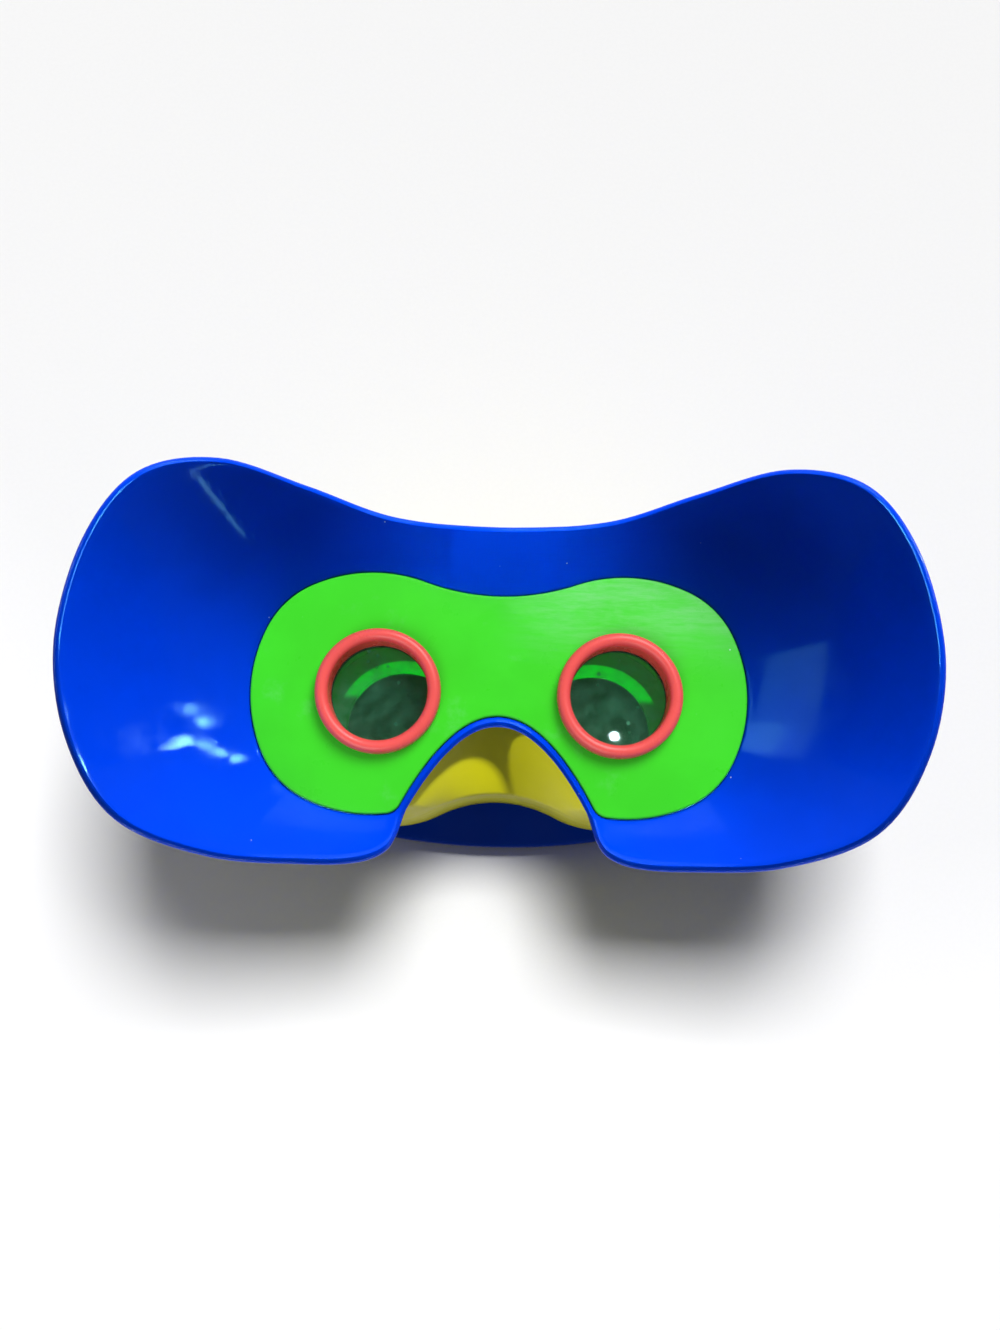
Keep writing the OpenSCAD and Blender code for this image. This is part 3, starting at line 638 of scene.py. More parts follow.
def plate_finish():
    """Green plastic that is brushed pale by wear above the right eye."""
    finish = plastic("green_plastic", GREEN, roughness=0.32, dust=0.14, scuff=0.12, shine=0.2)
    base = finish.shader.inputs["Base Color"].links[0].from_socket
    across = finish.ramp(finish.axis("X"), WEAR_LOW[0] * MM, WEAR_HIGH[0] * MM)
    along = finish.ramp(finish.axis("Y"), WEAR_LOW[1] * MM, WEAR_HIGH[1] * MM)
    brushed = finish.stretched(scales=(90, 600, 90), turns=(0, 0, 5))
    strokes = finish.ramp(finish.noise(scale=1, detail=6, roughness=0.7, place=brushed), low=0.2, high=0.85,
                          end=WEAR)
    worn = finish.product(across, along, strokes)
    finish.put(Base_Color=finish.blend(worn, base, mixed(GREEN, PALE_SCUFF, share=0.6)))
    return finish.material


def steel():
    finish = Finish("steel")
    finish.put(Base_Color=finish.blend(finish.noise(scale=300), DARK_STEEL, LIGHT_STEEL), Metallic=1.0,
               Roughness=finish.ramp(finish.noise(scale=700), low=0.3, high=0.7, start=0.22, end=0.4))
    finish.bump(finish.noise(scale=1800), strength=0.08, distance=0.04)
    return finish.material


def clear_lens(name, tint, dust):
    """Clear plastic that bends the view, lets light through, and carries smudges and dust."""
    finish = Finish(name)
    smear = finish.ramp(finish.noise(scale=160, detail=8, roughness=0.7), low=0.32, high=0.68)
    spots = finish.specks(scale=420, size=0.26, share=0.25)
    finish.put(Base_Color=tint, Transmission_Weight=1.0, Specular_Tint=LENS_SHEEN, IOR=PLASTIC_IOR,
               Roughness=finish.product(smear, LENS_BLUR))
    film = finish.node("BsdfDiffuse", Color=LENS_FILM)
    through = finish.node("BsdfTransparent", Color=LENS_SHADE)
    cover = finish.maths("ADD", finish.product(smear, dust), finish.product(spots, 2 * dust))
    coated = finish.shaders(cover, finish.shader.outputs[0], film.outputs[0])
    shadow_ray = finish.node("LightPath").outputs["Is Shadow Ray"]
    finish.fill(finish.output, Surface=finish.shaders(shadow_ray, coated, through.outputs[0]))
    return finish.material


def tube_painted_glow_finish():
    """Clear green moulding in a dark green with painted light: a faint emission glow over its bore, and a
    brighter one on the +Y side of the lip of its step, which no lamp lights.
    """
    finish = plastic("green_tube", DEEP_GREEN_PAINTED_SHADE, roughness=0.3)
    off_axis = finish.maths("SUBTRACT", finish.maths("ABSOLUTE", finish.axis("X"), 0.0), EYE_X * MM)
    flat = finish.node("CombineXYZ", X=off_axis, Y=finish.axis("Y"))
    radius = finish.node("VectorMath", Vector=flat.outputs[0])
    radius.operation = "LENGTH"
    glow_r = TUBE_LIP_R - LIP_BEAD + GLOW_WIDTH
    step_top = TUBE_FRONT + TUBE_STEP_T
    lip = finish.ramp(radius.outputs["Value"], (glow_r + FINE_ROUND) * MM, glow_r * MM)
    low = finish.ramp(finish.axis("Z"), (step_top + FINE_ROUND) * MM, step_top * MM)
    far_side = finish.ramp(finish.axis("Y"), GLOW_START * MM, GLOW_END * MM)
    glow = finish.product(lip, low, far_side)
    finish.put(Emission_Color=finish.blend(glow, BORE_PAINTED_GLOW, LIP_PAINTED_GLOW), Emission_Strength=1.0)
    return finish.material


blue_plastic = plastic("blue_plastic", BLUE, roughness=0.08, dust=0.12, sheen=BLUE_SHEEN,
                       shine=0.06).material
navy_plastic = plastic("navy_plastic", NAVY, roughness=0.2, dust=0.05, shine=0.03).material
green_plastic = plate_finish()
red_plastic = plastic("red_plastic", RED, roughness=0.27, grain=0.08, shine=0.3).material
yellow_plastic = plastic("yellow_plastic", YELLOW, roughness=0.4, dust=0.04, scuff=0.02, shine=0.1).material
black_plastic = plastic("black_plastic", BLACK, roughness=0.4).material
white_plastic = plastic("white_plastic", PALE, roughness=0.4).material
# The sight tubes' finish is painted light: a dark green base with an emission glow on the bore and on the +Y
# side of the step's lip
green_tube = tube_painted_glow_finish()
screw_steel = steel()
eye_glass = clear_lens("eye_lens", EYE_TINT, dust=0.34)
front_glass = clear_lens("front_lens", FRONT_TINT, dust=0.06)


# Face shield

def slope(distance):
    return BOWL_START_SLOPE + SLOPE_RATE * distance


def bowl(distance):
    fall = math.cos(math.radians(BOWL_START_SLOPE)) / math.cos(math.radians(slope(distance)))
    return math.degrees(math.log(fall)) / SLOPE_RATE


def bowl_point(distance, depth):
    """Point of the bowl's section at a depth below its front face."""
    return Vector((distance, bowl(distance))) - polar(depth, 90 + slope(distance))


def band_point(x):
    return arch_point(x) + arch_outward(x) * mix(CROWN_BAND, FOOT_BAND, x / ARCH_END)


def rim_controls():
    """Points that the right half of the rim's curve passes, from the brow to the crown of the notch."""
    table = []
    for x_share, y_share in zip(RIM_X_SHARES, RIM_Y_SHARES):
        reach = RIM_BROW if y_share > 0 else RIM_DROP
        table.append(Vector((x_share * RIM_HALF_WIDTH, y_share * reach)))
    return [flip(table[1])] + table + [band_point(ARCH_END), band_point(ARCH_END * BAND_LEAD_SHARE)]


def spline(points, k, share):
    """Point of a smooth curve through the points, a share of the way from point k to the next."""
    before, start, end, after = points[k - 1:k + 3]
    return (2 * start + (end - before) * share
            + (2 * before - 5 * start + 4 * end - after) * share ** 2
            + (3 * start - before - 3 * end + after) * share ** 3) / 2


def nearest(point):
    """Nearest point of the plate's outline to a point outside it."""
    if point.y > 0 and math.degrees(math.atan2(point.x, DIP_CENTRE.y - point.y)) < DIP_ANGLE:
        return DIP_CENTRE + (point - DIP_CENTRE).normalized() * DIP_R
    for centre, radius, start, end, steps in PLATE_ARCS:
        out = (point - centre).normalized()
        if end <= math.degrees(math.atan2(out.y, out.x)) <= start:
            return centre + out * radius
    return CORNER + (point - CORNER).normalized() * PLATE_CORNER_R


def shield_section(reach):
    """Section of the shield: pairs of distance from the plate's outline and height above the base."""
    sink = math.sin(math.radians(BOWL_START_SLOPE))
    bead = min(RIM_BEAD_R, (reach - SEAT_GAP - LEAST_FRONT) / (1 + BEAD_SWELL * sink))
    wall = 2 * BEAD_SWELL * bead
    last = reach - bead * (1 + BEAD_SWELL * math.sin(math.radians(slope(reach - 2 * bead))))
    soft = min(GROOVE_ROUND, GROOVE_ROUND_SHARE * (last - SEAT_GAP))
    edge_turn = 90 + BOWL_START_SLOPE
    edge_end = SEAT_GAP + soft + polar(soft, edge_turn).x
    edge_centre = Vector((SEAT_GAP + soft, bowl(edge_end) - polar(soft, edge_turn).y))
    edge = [edge_centre + polar(soft, mix(180, edge_turn, i / ROUND_STEPS)) for i in range(ROUND_STEPS)]
    distances = [mix(edge_end, last, i / FRONT_STEPS) for i in range(FRONT_STEPS + 1)]
    back = [bowl_point(mix(SEAT_GAP, last, i / FRONT_STEPS), wall) for i in range(FRONT_STEPS, -1, -1)]
    crease = math.degrees(math.acos(BEAD_SWELL))
    middle = bowl_point(last, wall / 2)
    turn = 90 + slope(last)
    bead_arc = [middle + polar(bead, turn - mix(crease, 180 - crease, i / BEAD_STEPS))
                for i in range(1, BEAD_STEPS)]
    ledge = LEDGE_TOP - SHIELD_LEVEL
    foot = BODY_REAR - SHIELD_LEVEL
    return ([Vector((-LEDGE_W, ledge)), Vector((SEAT_GAP, ledge))] + edge
            + [bowl_point(distance, 0) for distance in distances] + bead_arc + back
            + [Vector((back[-1].x, foot)), Vector((-LEDGE_W, foot))])


def shield_sections():
    """Sections of the shield all the way round, each from the plate's outline out to the rim."""
    controls = rim_controls()
    half = []
    for k in range(1, len(controls) - 2):
        for i in range(RIM_STEPS):
            rim = spline(controls, k, i / RIM_STEPS)
            half.append((nearest(rim), rim))
    half += [(arch_point(x), band_point(x)) for x in ARCH_X]
    sections = []
    for base, rim in half:
        out = (rim - base).normalized()
        sections.append([(base.x + out.x * v.x, base.y + out.y * v.x, SHIELD_LEVEL + v.y)
                         for v in shield_section((rim - base).length)])
    mirrored = [[(-x, y, z) for x, y, z in section] for section in sections[-2:0:-1]]
    return sections + mirrored


face_shield = raw("shield", sweep(shield_sections(), True))
finished(face_shield, blue_plastic, "housing", "face_shield")


# Face plate and bezel: slabs with two bores

def half_slab(half, sides, bore, side):
    """One side of a slab, on +X or -X, between its outline and the bore round its optical axis."""
    eye = Vector((EYE_X, 0))
    bridge = len(half) // BRIDGE_STATIONS
    points, faces = [], []

    def add(loop, z):
        points.extend((side * p.x, p.y, z) for p in loop)
        return len(points) - len(loop)

    def strip(first, second, count, closed):
        for i in range(count if closed else count - 1):
            beside = (i + 1) % count
            faces.append((first + i, first + beside, second + beside, second + i))

    def rim(level):
        loop = [inset(station, level[0]) for station in half]
        return loop + [loop[-1].lerp(loop[0], i / bridge) for i in range(1, bridge)]

    top, bottom = rim(sides[-1]), rim(sides[0])
    rows = [add([inset(station, level[0]) for station in half], level[1]) for level in sides]
    for lower, upper in zip(rows, rows[1:]):
        strip(lower, upper, len(half), False)
    holes = [add([eye + (p - eye).normalized() * r for p in top], z) for r, z in bore]
    for upper, lower in zip(holes, holes[1:]):
        strip(upper, lower, len(top), True)
    strip(add(top, sides[-1][1]), holes[0], len(top), True)
    strip(add(bottom, sides[0][1]), holes[-1], len(top), True)
    return points, faces


def twin_slab(half, sides, bore):
    """Slab of a mirrored outline with a bore round each optical axis. sides are pairs of inset and height
    from the bottom up; bore is pairs of radius and height from the top down."""
    return joined([half_slab(half, sides, bore, side) for side in (1, -1)])


def quarter(radius, level, side):
    """Quarter round at the head of a slab's edge, or at its foot where side is -1: pairs of inset and height
    from the bottom up."""
    turns = [polar(radius, 90 * i / ROUND_STEPS) for i in range(ROUND_STEPS + 1)]
    return [(radius - turn.x, level + side * (turn.y - radius)) for turn in turns][::side]


def four_places(place):
    return [(x * place.x, y * place.y) for x in (-1, 1) for y in (-1, 1)]


plate_slab = raw("plate", twin_slab(PLATE_HALF, [(0, LEDGE_TOP)] + quarter(PLATE_EDGE, PLATE_TOP, 1),
                                    [(TUBE_BORE_R, PLATE_TOP), (TUBE_BORE_R, LEDGE_TOP)]))
post_profile = rounded([(SHANK_R, BODY_REAR, 0), (PLATE_POST_R, BODY_REAR, FINE_ROUND),
                        (PLATE_POST_R, LEDGE_TOP + TIP_COVER, 0), (SHANK_R, LEDGE_TOP + TIP_COVER, 0)])
plate_post = turned(post_profile, SMALL_TURN_STEPS)
plate_posts = copies("post", plate_post, four_places(PLATE_POST))
finished(combine(plate_slab, plate_posts, "UNION"), green_plastic, "housing", "face_plate")

bezel_slab = raw("bezel", twin_slab(BEZEL_HALF,
                                    quarter(BEZEL_EDGE, 0, -1) + quarter(BEZEL_EDGE, BEZEL_T, 1),
                                    [(OPENING_R, BEZEL_T), (OPENING_R, OPENING_FLARE),
                                     (OPENING_R + OPENING_FLARE, 0)]))
well_profile = [(0, -OVERRUN), (HEAD_R + FIT, -OVERRUN), (HEAD_R + FIT, BEZEL_HEAD_SINK),
                (SHANK_R + FIT, BEZEL_HEAD_SINK), (SHANK_R + FIT, BEZEL_T + OVERRUN), (0, BEZEL_T + OVERRUN)]
screw_well = turned(well_profile, SMALL_TURN_STEPS)
bezel_wells = copies("well", screw_well, four_places(BEZEL_SCREW))
finished(combine(bezel_slab, bezel_wells, "DIFFERENCE"), navy_plastic, "housing", "front_bezel")


# Eyepieces and tubes

def ring_profile():
    """Rolled ring, neck and the lens's shoulder."""
    roll = RING_ROLL / 2
    middle = Vector((RING_OPEN_R + roll, RING_CREST - roll))
    crest = [middle + polar(roll, mix(0, 180, i / (2 * ROUND_STEPS))) for i in range(2 * ROUND_STEPS + 1)]
    lower = rounded([(RING_OPEN_R, LENS_TOP, FINE_ROUND), (EYE_LENS_R + FIT, LENS_TOP, 0),
                     (EYE_LENS_R + FIT, NECK_END, FINE_ROUND), (NECK_R, NECK_END, FINE_ROUND),
                     (NECK_R, PLATE_TOP, 0), (RING_R, PLATE_TOP, RING_FOOT_ROUND),
                     (RING_R, middle.y, 0), (RING_OPEN_R, middle.y, 0)])
    return crest + lower[:-2]


def lens_profile(radius, thickness, curve):
    """Half section of a lens with a flat face at height zero and a curved face below it."""
    edge = math.degrees(math.asin(radius / curve))
    curved = []
    for i in range(LENS_STEPS + 1):
        point = polar(curve, -90 + edge * (1 - i / LENS_STEPS))
        curved.append(Vector((point.x, point.y + curve - thickness)))
    return [Vector((0, 0)), Vector((radius - FINE_ROUND, 0)), Vector((radius, -FINE_ROUND))] + curved


def lens_depth_at(radius, thickness, curve):
    """Thickness of such a lens at a distance from its axis."""
    return thickness - curve + math.sqrt(curve ** 2 - radius ** 2)


def band_profile(outer, wall, low, high):
    return rounded([(outer - wall, low, FINE_ROUND), (outer, low, FINE_ROUND), (outer, high, FINE_ROUND),
                    (outer - wall, high, FINE_ROUND)])


tube_r = TUBE_BORE_R + TUBE_WALL
lip_r = TUBE_LIP_R - LIP_BEAD
step_top = TUBE_FRONT + TUBE_STEP_T
tube_profile = rounded([(lip_r, TUBE_FRONT, FINE_ROUND), (tube_r, TUBE_FRONT, 0), (tube_r, LEDGE_TOP, 0),
                        (TUBE_BORE_R, LEDGE_TOP, 0), (TUBE_BORE_R, step_top, FINE_ROUND),
                        (lip_r, step_top, FINE_ROUND)])
eye_seat = LENS_TOP - lens_depth_at(EYE_LENS_R - EYE_RETAINER_WALL, EYE_LENS_T, EYE_LENS_CURVE)
objective_flat = CARRIAGE_BACK - CELL_LIP_T
objective_seat = objective_flat - lens_depth_at(OBJECTIVE_R - RETAINER_WALL, OBJECTIVE_T, OBJECTIVE_CURVE)
# Turned pieces on each optical axis: kind, finish, body, half section and height
turnings = (
    ("eye_ring", red_plastic, "housing", ring_profile(), 0.0),
    ("eye_lens", eye_glass, "housing", lens_profile(EYE_LENS_R, EYE_LENS_T, EYE_LENS_CURVE), LENS_TOP),
    ("eye_retainer", black_plastic, "housing",
     band_profile(EYE_LENS_R, EYE_RETAINER_WALL, NECK_END, eye_seat), 0.0),
    ("sight_tube", green_tube, "housing", tube_profile, 0.0),
    ("objective_lens", front_glass, "carriage",
     lens_profile(OBJECTIVE_R, OBJECTIVE_T, OBJECTIVE_CURVE), objective_flat),
    ("objective_retainer", black_plastic, "carriage",
     band_profile(OBJECTIVE_R, RETAINER_WALL, CARRIAGE_FRONT, objective_seat), 0.0),
)
for name, x in (("left", -EYE_X), ("right", EYE_X)):
    for kind, material, body, profile, z in turnings:
        made = raw(f"{name}_{kind}_smooth", at(turned(profile), x, z=z))
        finished(made, material, body, f"{name}_{kind}")


# Body shells

def shoulder_share(z):
    """How far the housing has gone over from the barrels' outline to the plate's, eased at the shoulder."""
    rise = z - SHOULDER_LEVEL
    if abs(rise) < SHOULDER_ROUND:
        rise = (rise + SHOULDER_ROUND) ** 2 / (4 * SHOULDER_ROUND)
    return max(0.0, rise) / SHOULDER_LENGTH


def body_point(i, z, depth):
    share = shoulder_share(z)
    point = BARREL_HALF[i][0].lerp(inset(PLATE_HALF[i], REAR_INSET), share)
    outward = BARREL_HALF[i][1].lerp(PLATE_HALF[i][1], share)
    return point - outward * depth


def wall_levels():
    """Heights at which the wall has a ring: closer together where the shoulder begins."""
    eased = [SHOULDER_LEVEL + SHOULDER_ROUND * mix(-1, 1, i / ROUND_STEPS) for i in range(ROUND_STEPS + 1)]
    straight = [mix(eased[-1], LIP_LEVEL, i / ROUND_STEPS) for i in range(1, ROUND_STEPS + 1)]
    return [BODY_FRONT, mix(BODY_FRONT, eased[0], 1 / 2)] + eased + straight


def shell_sections(half):
    """Sections of a shell's wall from seam to seam; half is 1 for the upper shell and -1 for the lower."""
    levels = wall_levels()
    section = ([(0, z) for z in levels] + [(0, BODY_REAR), (LIP_W, BODY_REAR), (LIP_W, LIP_LEVEL)]
               + [(BODY_WALL, z) for z in reversed(levels)])
    stations = range(0, SIDE_STATION + 1) if half > 0 else range(len(PLATE_HALF) - 1, SIDE_STATION - 1, -1)
    right = []
    for i in stations:
        row = []
        for depth, z in section:
            point = body_point(i, z, depth)
            row.append((max(point.x, 0), half * max(half * point.y, SEAM_GAP), z))
        right.append(row)
    left = [[(-x, y, z) for x, y, z in row] for row in reversed(right[1:])]
    return left + right


def rod(radius, start, end, steps=SMALL_TURN_STEPS):
    return turned([(0, start), (radius, start), (radius, end), (0, end)], steps)


def block(low, high):
    corners = [(x, y, z) for x in (low[0], high[0]) for y in (low[1], high[1]) for z in (low[2], high[2])]
    faces = [(0, 1, 3, 2), (4, 6, 7, 5), (0, 4, 5, 1), (2, 3, 7, 6), (0, 2, 6, 4), (1, 5, 7, 3)]
    return corners, faces


def body_shell(half):
    """Half of the housing on one side of the seam, with its posts, bosses and holes."""
    sideways = Matrix.Rotation(math.radians(-90 * half), 3, "X")
    post_places = [(x, 0, z, sideways) for x in (-BODY_POST_X, BODY_POST_X) for z in BODY_SCREW_LEVELS]
    boss_places = [(x * BEZEL_SCREW.x, half * BEZEL_SCREW.y) for x in (-1, 1)]
    lip_places = [(x * PLATE_POST.x, half * PLATE_POST.y) for x in (-1, 1)]
    post = rod(BODY_POST_R, SEAM_GAP, BODY_POST_SHARE * BARREL_R)
    boss = rod(BEZEL_BOSS_R, BODY_FRONT, BODY_FRONT + BEZEL_BOSS_T)
    shell = raw("shell", sweep(shell_sections(half), False))
    combine(shell, copies("post", post, post_places) + copies("boss", boss, boss_places), "UNION")
    head = BODY_HEAD_SHARE * BARREL_R
    reach = BODY_TIP_SHARE * BARREL_R if half > 0 else head + OVERRUN
    cuts = copies("hole", rod(SHANK_R, -OVERRUN, reach), post_places)
    if half < 0:
        cuts += copies("pocket", rod(HEAD_R + FIT, head, BARREL_R), post_places)
    else:
        slot_low = HUB_FRONT + HUB_SIDE - SLOT_GAP
        cuts.append(raw("slot", block((-KNOB_R, KNOB_AXIS, slot_low),
                                      (KNOB_R, 2 * BARREL_R, slot_low + KNOB_W + 2 * SLOT_GAP))))
    boss_hole = rod(SHANK_R, BODY_FRONT - OVERRUN, BODY_FRONT + BEZEL_BOSS_T - TIP_COVER)
    lip_hole = rod(SHANK_R, LIP_LEVEL - OVERRUN, BODY_REAR + OVERRUN)
    tube_gap = rod(TUBE_BORE_R + TUBE_WALL + SEAT_GAP, LIP_LEVEL - OVERRUN, BODY_REAR + OVERRUN, TURN_STEPS)
    cuts += copies("hole", boss_hole, boss_places) + copies("hole", lip_hole, lip_places)
    cuts += copies("tube_gap", tube_gap, [(-EYE_X,), (EYE_X,)])
    return combine(shell, cuts, "DIFFERENCE")


for name, half in (("upper", 1), ("lower", -1)):
    shell = body_shell(half)
    shell.name = f"{name}_shell"
    finished(shell, yellow_plastic, "housing", f"{name}_body_shell")


# Focus drive

GRIP_DEPTH = 0.9
GRIP_SAMPLES = 12
KNOB_ROUND = 1.0
THREAD_DEPTH = 0.45
THREAD_STARTS = 3
THREAD_STEPS = 8


def knob_shape():
    """Scalloped wheel with rounded rims on a hub."""
    hub_r = SCREW_R + HUB_WALL
    far_side = HUB_SIDE + KNOB_W
    profile = rounded([(SCREW_R, 0, 0), (hub_r, 0, FINE_ROUND), (hub_r, HUB_SIDE, 0),
                       (KNOB_R, HUB_SIDE, KNOB_ROUND), (KNOB_R, far_side, KNOB_ROUND),
                       (hub_r, far_side, 0), (hub_r, HUB_LENGTH, FINE_ROUND), (SCREW_R, HUB_LENGTH, 0)])

    def scalloped(i):
        dent = GRIP_DEPTH * ((1 + math.cos(2 * math.pi * i / GRIP_SAMPLES)) / 2) ** 2
        return [(r - dent * max(0.0, (r - hub_r) / (KNOB_R - hub_r)), z) for r, z in profile]

    return spun(scalloped, KNOB_GRIPS * GRIP_SAMPLES)


def threaded(radius, depth, lead, starts, low, high):
    """Rod with a right-hand thread."""
    rows = int(THREAD_STEPS * starts * (high - low) / lead)
    levels = [mix(low, high, k / rows) for k in range(rows + 1)]

    def crests(i):
        outline = [(0, low)]
        for z in levels:
            wave = math.cos(2 * math.pi * starts * (z / lead - i / TURN_STEPS))
            outline.append((radius - depth * (1 - wave) / 2, z))
        return outline + [(0, high)]

    return spun(crests, TURN_STEPS)


knob = raw("knob", at(knob_shape(), y=KNOB_AXIS, z=HUB_FRONT))
finished(knob, red_plastic, "focus_wheel", "focus_knob")
screw_low = CARRIAGE_FRONT - SCREW_SPARE
screw_high = REAR_BEARING_LEVEL + BEARING_T + SCREW_SPARE
drive_thread = threaded(SCREW_R, THREAD_DEPTH, SCREW_LEAD, THREAD_STARTS, screw_low, screw_high)
drive = raw("drive_screw", at(drive_thread, y=KNOB_AXIS))
finished(drive, screw_steel, "focus_wheel", "focus_screw")


# Fasteners

SCREW_PITCH = 0.9
SCREW_THREAD_DEPTH = 0.25
HEAD_ROUND = 0.7
RECESS_WIDTH = 0.5
RECESS_REACH = 1.4
RECESS_DEPTH = 0.9


def cross_screw(length):
    """Pan-head screw with a cross recess, its head's seat at the origin and its shank along +Z."""
    profile = rounded([(0, 0, 0), (0, -HEAD_T, 0), (HEAD_R, -HEAD_T, HEAD_ROUND), (HEAD_R, 0, 0)])
    head = raw("head", turned(profile, SMALL_TURN_STEPS))
    depth = RECESS_DEPTH - HEAD_T
    arms = [raw("arm", block((-a, -b, -HEAD_T - OVERRUN), (a, b, depth)))
            for a, b in ((RECESS_WIDTH / 2, RECESS_REACH), (RECESS_REACH, RECESS_WIDTH / 2))]
    combine(head, arms, "DIFFERENCE")
    points = [tuple(v.co / MM) for v in head.data.vertices]
    faces = [tuple(p.vertices) for p in head.data.polygons]
    bpy.data.objects.remove(head)
    shank = threaded(SHANK_R, SCREW_THREAD_DEPTH, SCREW_PITCH, 1, 0, length)
    return joined([(points, faces), shank])


upright = Matrix.Rotation(math.radians(-90), 3, "X")
# Groups of screws: name, length below the head, and places
screw_groups = (
    ("shield_screws", LIP_T + LEDGE_T + PLATE_T - 2 * TIP_COVER - END_PLAY,
     [(x, y, LIP_LEVEL) for x, y in four_places(PLATE_POST)]),
    ("body_screws", (BODY_HEAD_SHARE + BODY_TIP_SHARE) * BARREL_R - END_PLAY,
     [(x, -BODY_HEAD_SHARE * BARREL_R, z, upright)
      for x in (-BODY_POST_X, BODY_POST_X) for z in BODY_SCREW_LEVELS]),
    ("bezel_screws", BEZEL_T - BEZEL_HEAD_SINK + BEZEL_BOSS_T - TIP_COVER - END_PLAY,
     [(x, y, BEZEL_HEAD_SINK) for x, y in four_places(BEZEL_SCREW)]),
)
for name, length, places in screw_groups:
    screw = cross_screw(length)
    shapes = [at(screw, *place) for place in places]
    finished(raw(f"{name}_cross", joined(shapes)), screw_steel, "housing", name)

for name, material in (("lens_carriage", black_plastic), ("front_bearing", white_plastic),
                       ("rear_bearing", white_plastic), ("left_guide_rod", screw_steel),
                       ("right_guide_rod", screw_steel)):
    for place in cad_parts[name].material_slots:
        place.material = material


# Camera: its place, its tilt and roll in degrees, and its lens

CAMERA_PLACE = (0.12, -38.7, 398.0)
CAMERA_TILT = 8.3
CAMERA_ROLL = 1.2
FOCAL_LENGTH = 48.74

camera = in_scene("camera", bpy.data.cameras.new("camera"))
camera.data.sensor_fit = "HORIZONTAL"
camera.data.lens = FOCAL_LENGTH
camera.matrix_world = (Matrix.Translation(Vector(CAMERA_PLACE) * MM)
                       @ Matrix.Rotation(math.radians(CAMERA_TILT), 4, "X")
                       @ Matrix.Rotation(math.radians(CAMERA_ROLL), 4, "Z"))
bpy.context.scene.camera = camera


# Stage and light

# The lamp that draws the shadow on the floor, and how bright it makes white paper right below it
LAMP_PLACE = Vector((74.0, 242.0, 900.0)) * MM
LAMP_FOOT = LAMP_PLACE * Vector((1, 1, 0))
LAMP_TONE = 1.15
# Tone of the floor right below the lamp, its palest tone, and the level at which it is seen far out
FLOOR_TONE = 0.75
FLOOR_MOST = 0.97
FLOOR_SEEN = 0.93


def floor_material():
    """Pale paper whose tone makes up for the lamp's fall-off, and which is seen as pale further out too."""
    finish = Finish("floor")
    away = finish.node("VectorMath", Vector=finish.place)
    away.operation = "DISTANCE"
    away.inputs[1].default_value = LAMP_FOOT
    spread = finish.maths("DIVIDE", away.outputs["Value"], LAMP_PLACE.z)
    slant = finish.maths("ADD", finish.product(spread, spread), 1.0)
    loss = finish.product(slant, slant)
    grain = finish.ramp(finish.noise(scale=900), low=0.2, high=0.8, start=0.985)
    tone = finish.maths("MINIMUM", finish.product(loss, FLOOR_TONE), FLOOR_MOST)
    lit = finish.maths("DIVIDE", FLOOR_MOST * LAMP_TONE, loss)
    missing = finish.maths("MAXIMUM", finish.maths("SUBTRACT", FLOOR_SEEN, lit), 0.0)
    finish.put(Base_Color=finish.product(tone, grain), Roughness=0.9, Specular_IOR_Level=0.0,
               Emission_Color=WHITE, Emission_Strength=finish.product(missing, finish.background_seen()))
    return finish.material


# Half the width of the floor
FLOOR_SIZE = 6000.0
floor_corners = [(x * FLOOR_SIZE, y * FLOOR_SIZE, 0) for x, y in ((-1, -1), (1, -1), (1, 1), (-1, 1))]
floor = raw("floor", (floor_corners, [(0, 1, 2, 3)]))
floor.data.materials.append(floor_material())
floor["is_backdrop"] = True

# Strength of the world as a light, and as a backdrop that is seen straight, mirrored or through glass
WORLD_LIGHT = 0.04
WORLD_SEEN = 0.88

world = bpy.data.worlds.new("studio")
bpy.context.scene.world = world
world.use_nodes = True
sky = Nodes(world.node_tree)
level = sky.ramp(sky.background_seen(), low=0, high=1, start=WORLD_LIGHT, end=WORLD_SEEN)
sky.fill(sky.tree.nodes["Background"], Color=WHITE, Strength=level)

AIM = Vector((0.0, 0.0, 90.0)) * MM


def lit_by(name, *endings):
    """A collection of what a light falls on, found by the endings of the names."""
    group = bpy.data.collections.new(name)
    for item in [*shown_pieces(), floor]:
        if item.name.endswith(endings):
            group.objects.link(item)
    return group


def area_light(name, place, width, height, power, receivers, aim=AIM):
    """Soft rectangular light at a place in metres, turned to its aim, that falls on the receivers only."""
    data = bpy.data.lights.new(name, "AREA")
    data.shape = "RECTANGLE"
    data.size = width
    data.size_y = height
    data.energy = power
    light = in_scene(name, data)
    light.location = place
    light.rotation_euler = (place - aim).to_track_quat("Z", "Y").to_euler()
    light.light_linking.receiver_collection = receivers
    return light


def from_aim(azimuth, elevation, distance):
    """Place at a distance from the aim; the azimuth turns from +X towards +Y."""
    flat = polar(distance, elevation)
    across = polar(flat.x, azimuth)
    return AIM + Vector((across.x, across.y, flat.y))


lit_bowl = lit_by("lit_bowl", "shield")
lit_face = lit_by("lit_face", "plate", "ring_smooth", "knob")
lit_lens = lit_by("lit_lens", "eye_lens_smooth")
lit_body = lit_by("lit_body", "_shell")
lit_bezel = lit_by("lit_bezel", "bezel")
lit_floor = lit_by("lit_floor", "floor")

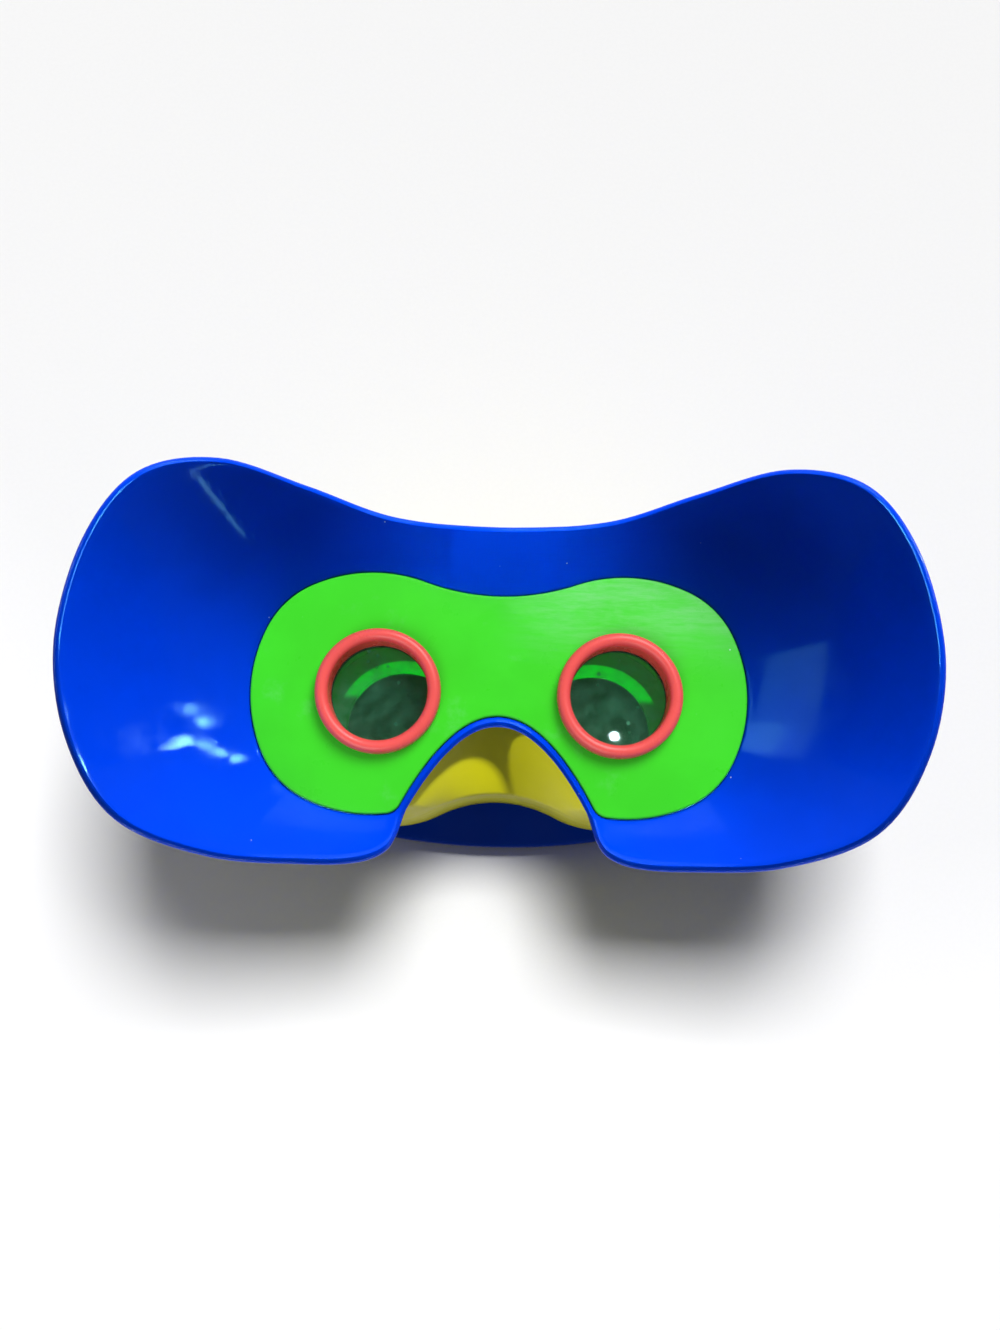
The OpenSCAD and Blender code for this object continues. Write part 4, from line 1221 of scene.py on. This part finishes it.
# Lights round the aim, in groups by the pieces that they fall on, by showing in full, as reflections alone
# or without any, and by distance in metres. A row has a name, azimuth and elevation in degrees, width and
# height in metres, and power in watts.
FULL, MIRRORED, MATT = "full", "mirrored", "matt"
FAR, NEAR, CHIN = 1.0, 0.42, 0.4
LIGHTS = (
    (lit_bowl, FULL, FAR, (("bowl_daylight", 74, 33, 0.6, 0.6, 15.5),)),
    (lit_face, FULL, FAR, (
        ("face_daylight", 67, 38, 0.45, 0.45, 3.0),
        ("face_sky", 60, 50, 0.6, 0.6, 7.0),
        ("face_fill", 240, 50, 0.6, 0.6, 4.0),
    )),
    (lit_lens, MATT, FAR, (("lens_daylight", 67, 38, 0.45, 0.45, 9.0),)),
    (lit_body, FULL, NEAR, (
        ("body_lamp_right", 60, 64, 0.02, 0.02, 4.6),
        ("body_lamp_left", 170, 51, 0.02, 0.02, 1.3),
    )),
    (lit_body, FULL, FAR, (
        ("body_sky", 90, 25, 0.8, 0.8, 1.0),
        ("body_side_right", 0, 10, 0.6, 0.6, 3.2),
        ("body_side_left", 180, 10, 0.6, 0.6, 3.2),
    )),
    (lit_bezel, MATT, FAR, (("bezel_light", -90, 55, 0.3, 0.3, 8.5),)),
    # Panes of a window beyond the right side, seen as bright patches low on the left wing, and a second
    # window beyond the left side and a strip below the chin, seen as faint ones
    (lit_bowl, MIRRORED, FAR, (
        ("pane_a", 25.2, 6.5, 0.05, 0.13, 4.86),
        ("pane_b", 27.2, 12, 0.045, 0.035, 1.19),
        ("pane_c", 30.5, 14, 0.045, 0.04, 1.46),
        ("pane_d", 34, 16.5, 0.05, 0.04, 1.46),
        ("pane_e", 16, 12, 0.04, 0.045, 1.08),
        ("pane_f", 20, 13.8, 0.045, 0.04, 1.46),
        ("pane_g", 16.5, 4, 0.03, 0.035, 0.65),
        ("left_window", 170, 16.5, 0.6, 0.22, 3.78),
        ("left_pane", 157, 19, 0.2, 0.12, 0.9),
        ("chin_strip", -51, 5, 0.025, 0.3, 0.7),
        ("brow_sky", 90, 20, 0.9, 0.4, 5.4),
        ("rim_strip", 90, 78, 0.4, 0.4, 65.0),
    )),
    (lit_bowl, FULL, CHIN, (("chin_light", -90, -10, 0.5, 0.03, 0.8),)),
)
for receivers, showing, distance, rows in LIGHTS:
    for name, azimuth, elevation, width, height, power in rows:
        light = area_light(name, from_aim(azimuth, elevation, distance), width, height, power, receivers)
        light.visible_diffuse = showing != MIRRORED
        light.visible_glossy = showing != MATT
        light.visible_transmission = showing == FULL

# Lights with places or aims of their own: a narrow one on the brow, the lamp whose glint shows in the right
# lens, and two for the floor
BROW_AIM = Vector((0.0, 31.0, 91.0)) * MM
BROW_SPREAD = 6.5
BULB_PLACE = Vector((59.0, 26.0, 450.0)) * MM
FILL_PLACE = Vector((0.0, 0.0, 1000.0)) * MM
brow = area_light("brow_light", from_aim(azimuth=-90, elevation=55, distance=0.6), width=0.04, height=0.02,
                  power=0.004, receivers=lit_bowl, aim=BROW_AIM)
brow.data.spread = math.radians(BROW_SPREAD)
area_light("lamp_bulb", BULB_PLACE, width=0.004, height=0.004, power=0.09, receivers=lit_lens)
area_light("floor_fill", FILL_PLACE, width=1.2, height=1.2, power=0.6, receivers=lit_floor)
area_light("floor_lamp", LAMP_PLACE, width=0.24, height=0.24, power=9.5, receivers=lit_floor, aim=LAMP_FOOT)

bpy.context.scene.view_settings.view_transform = "Standard"
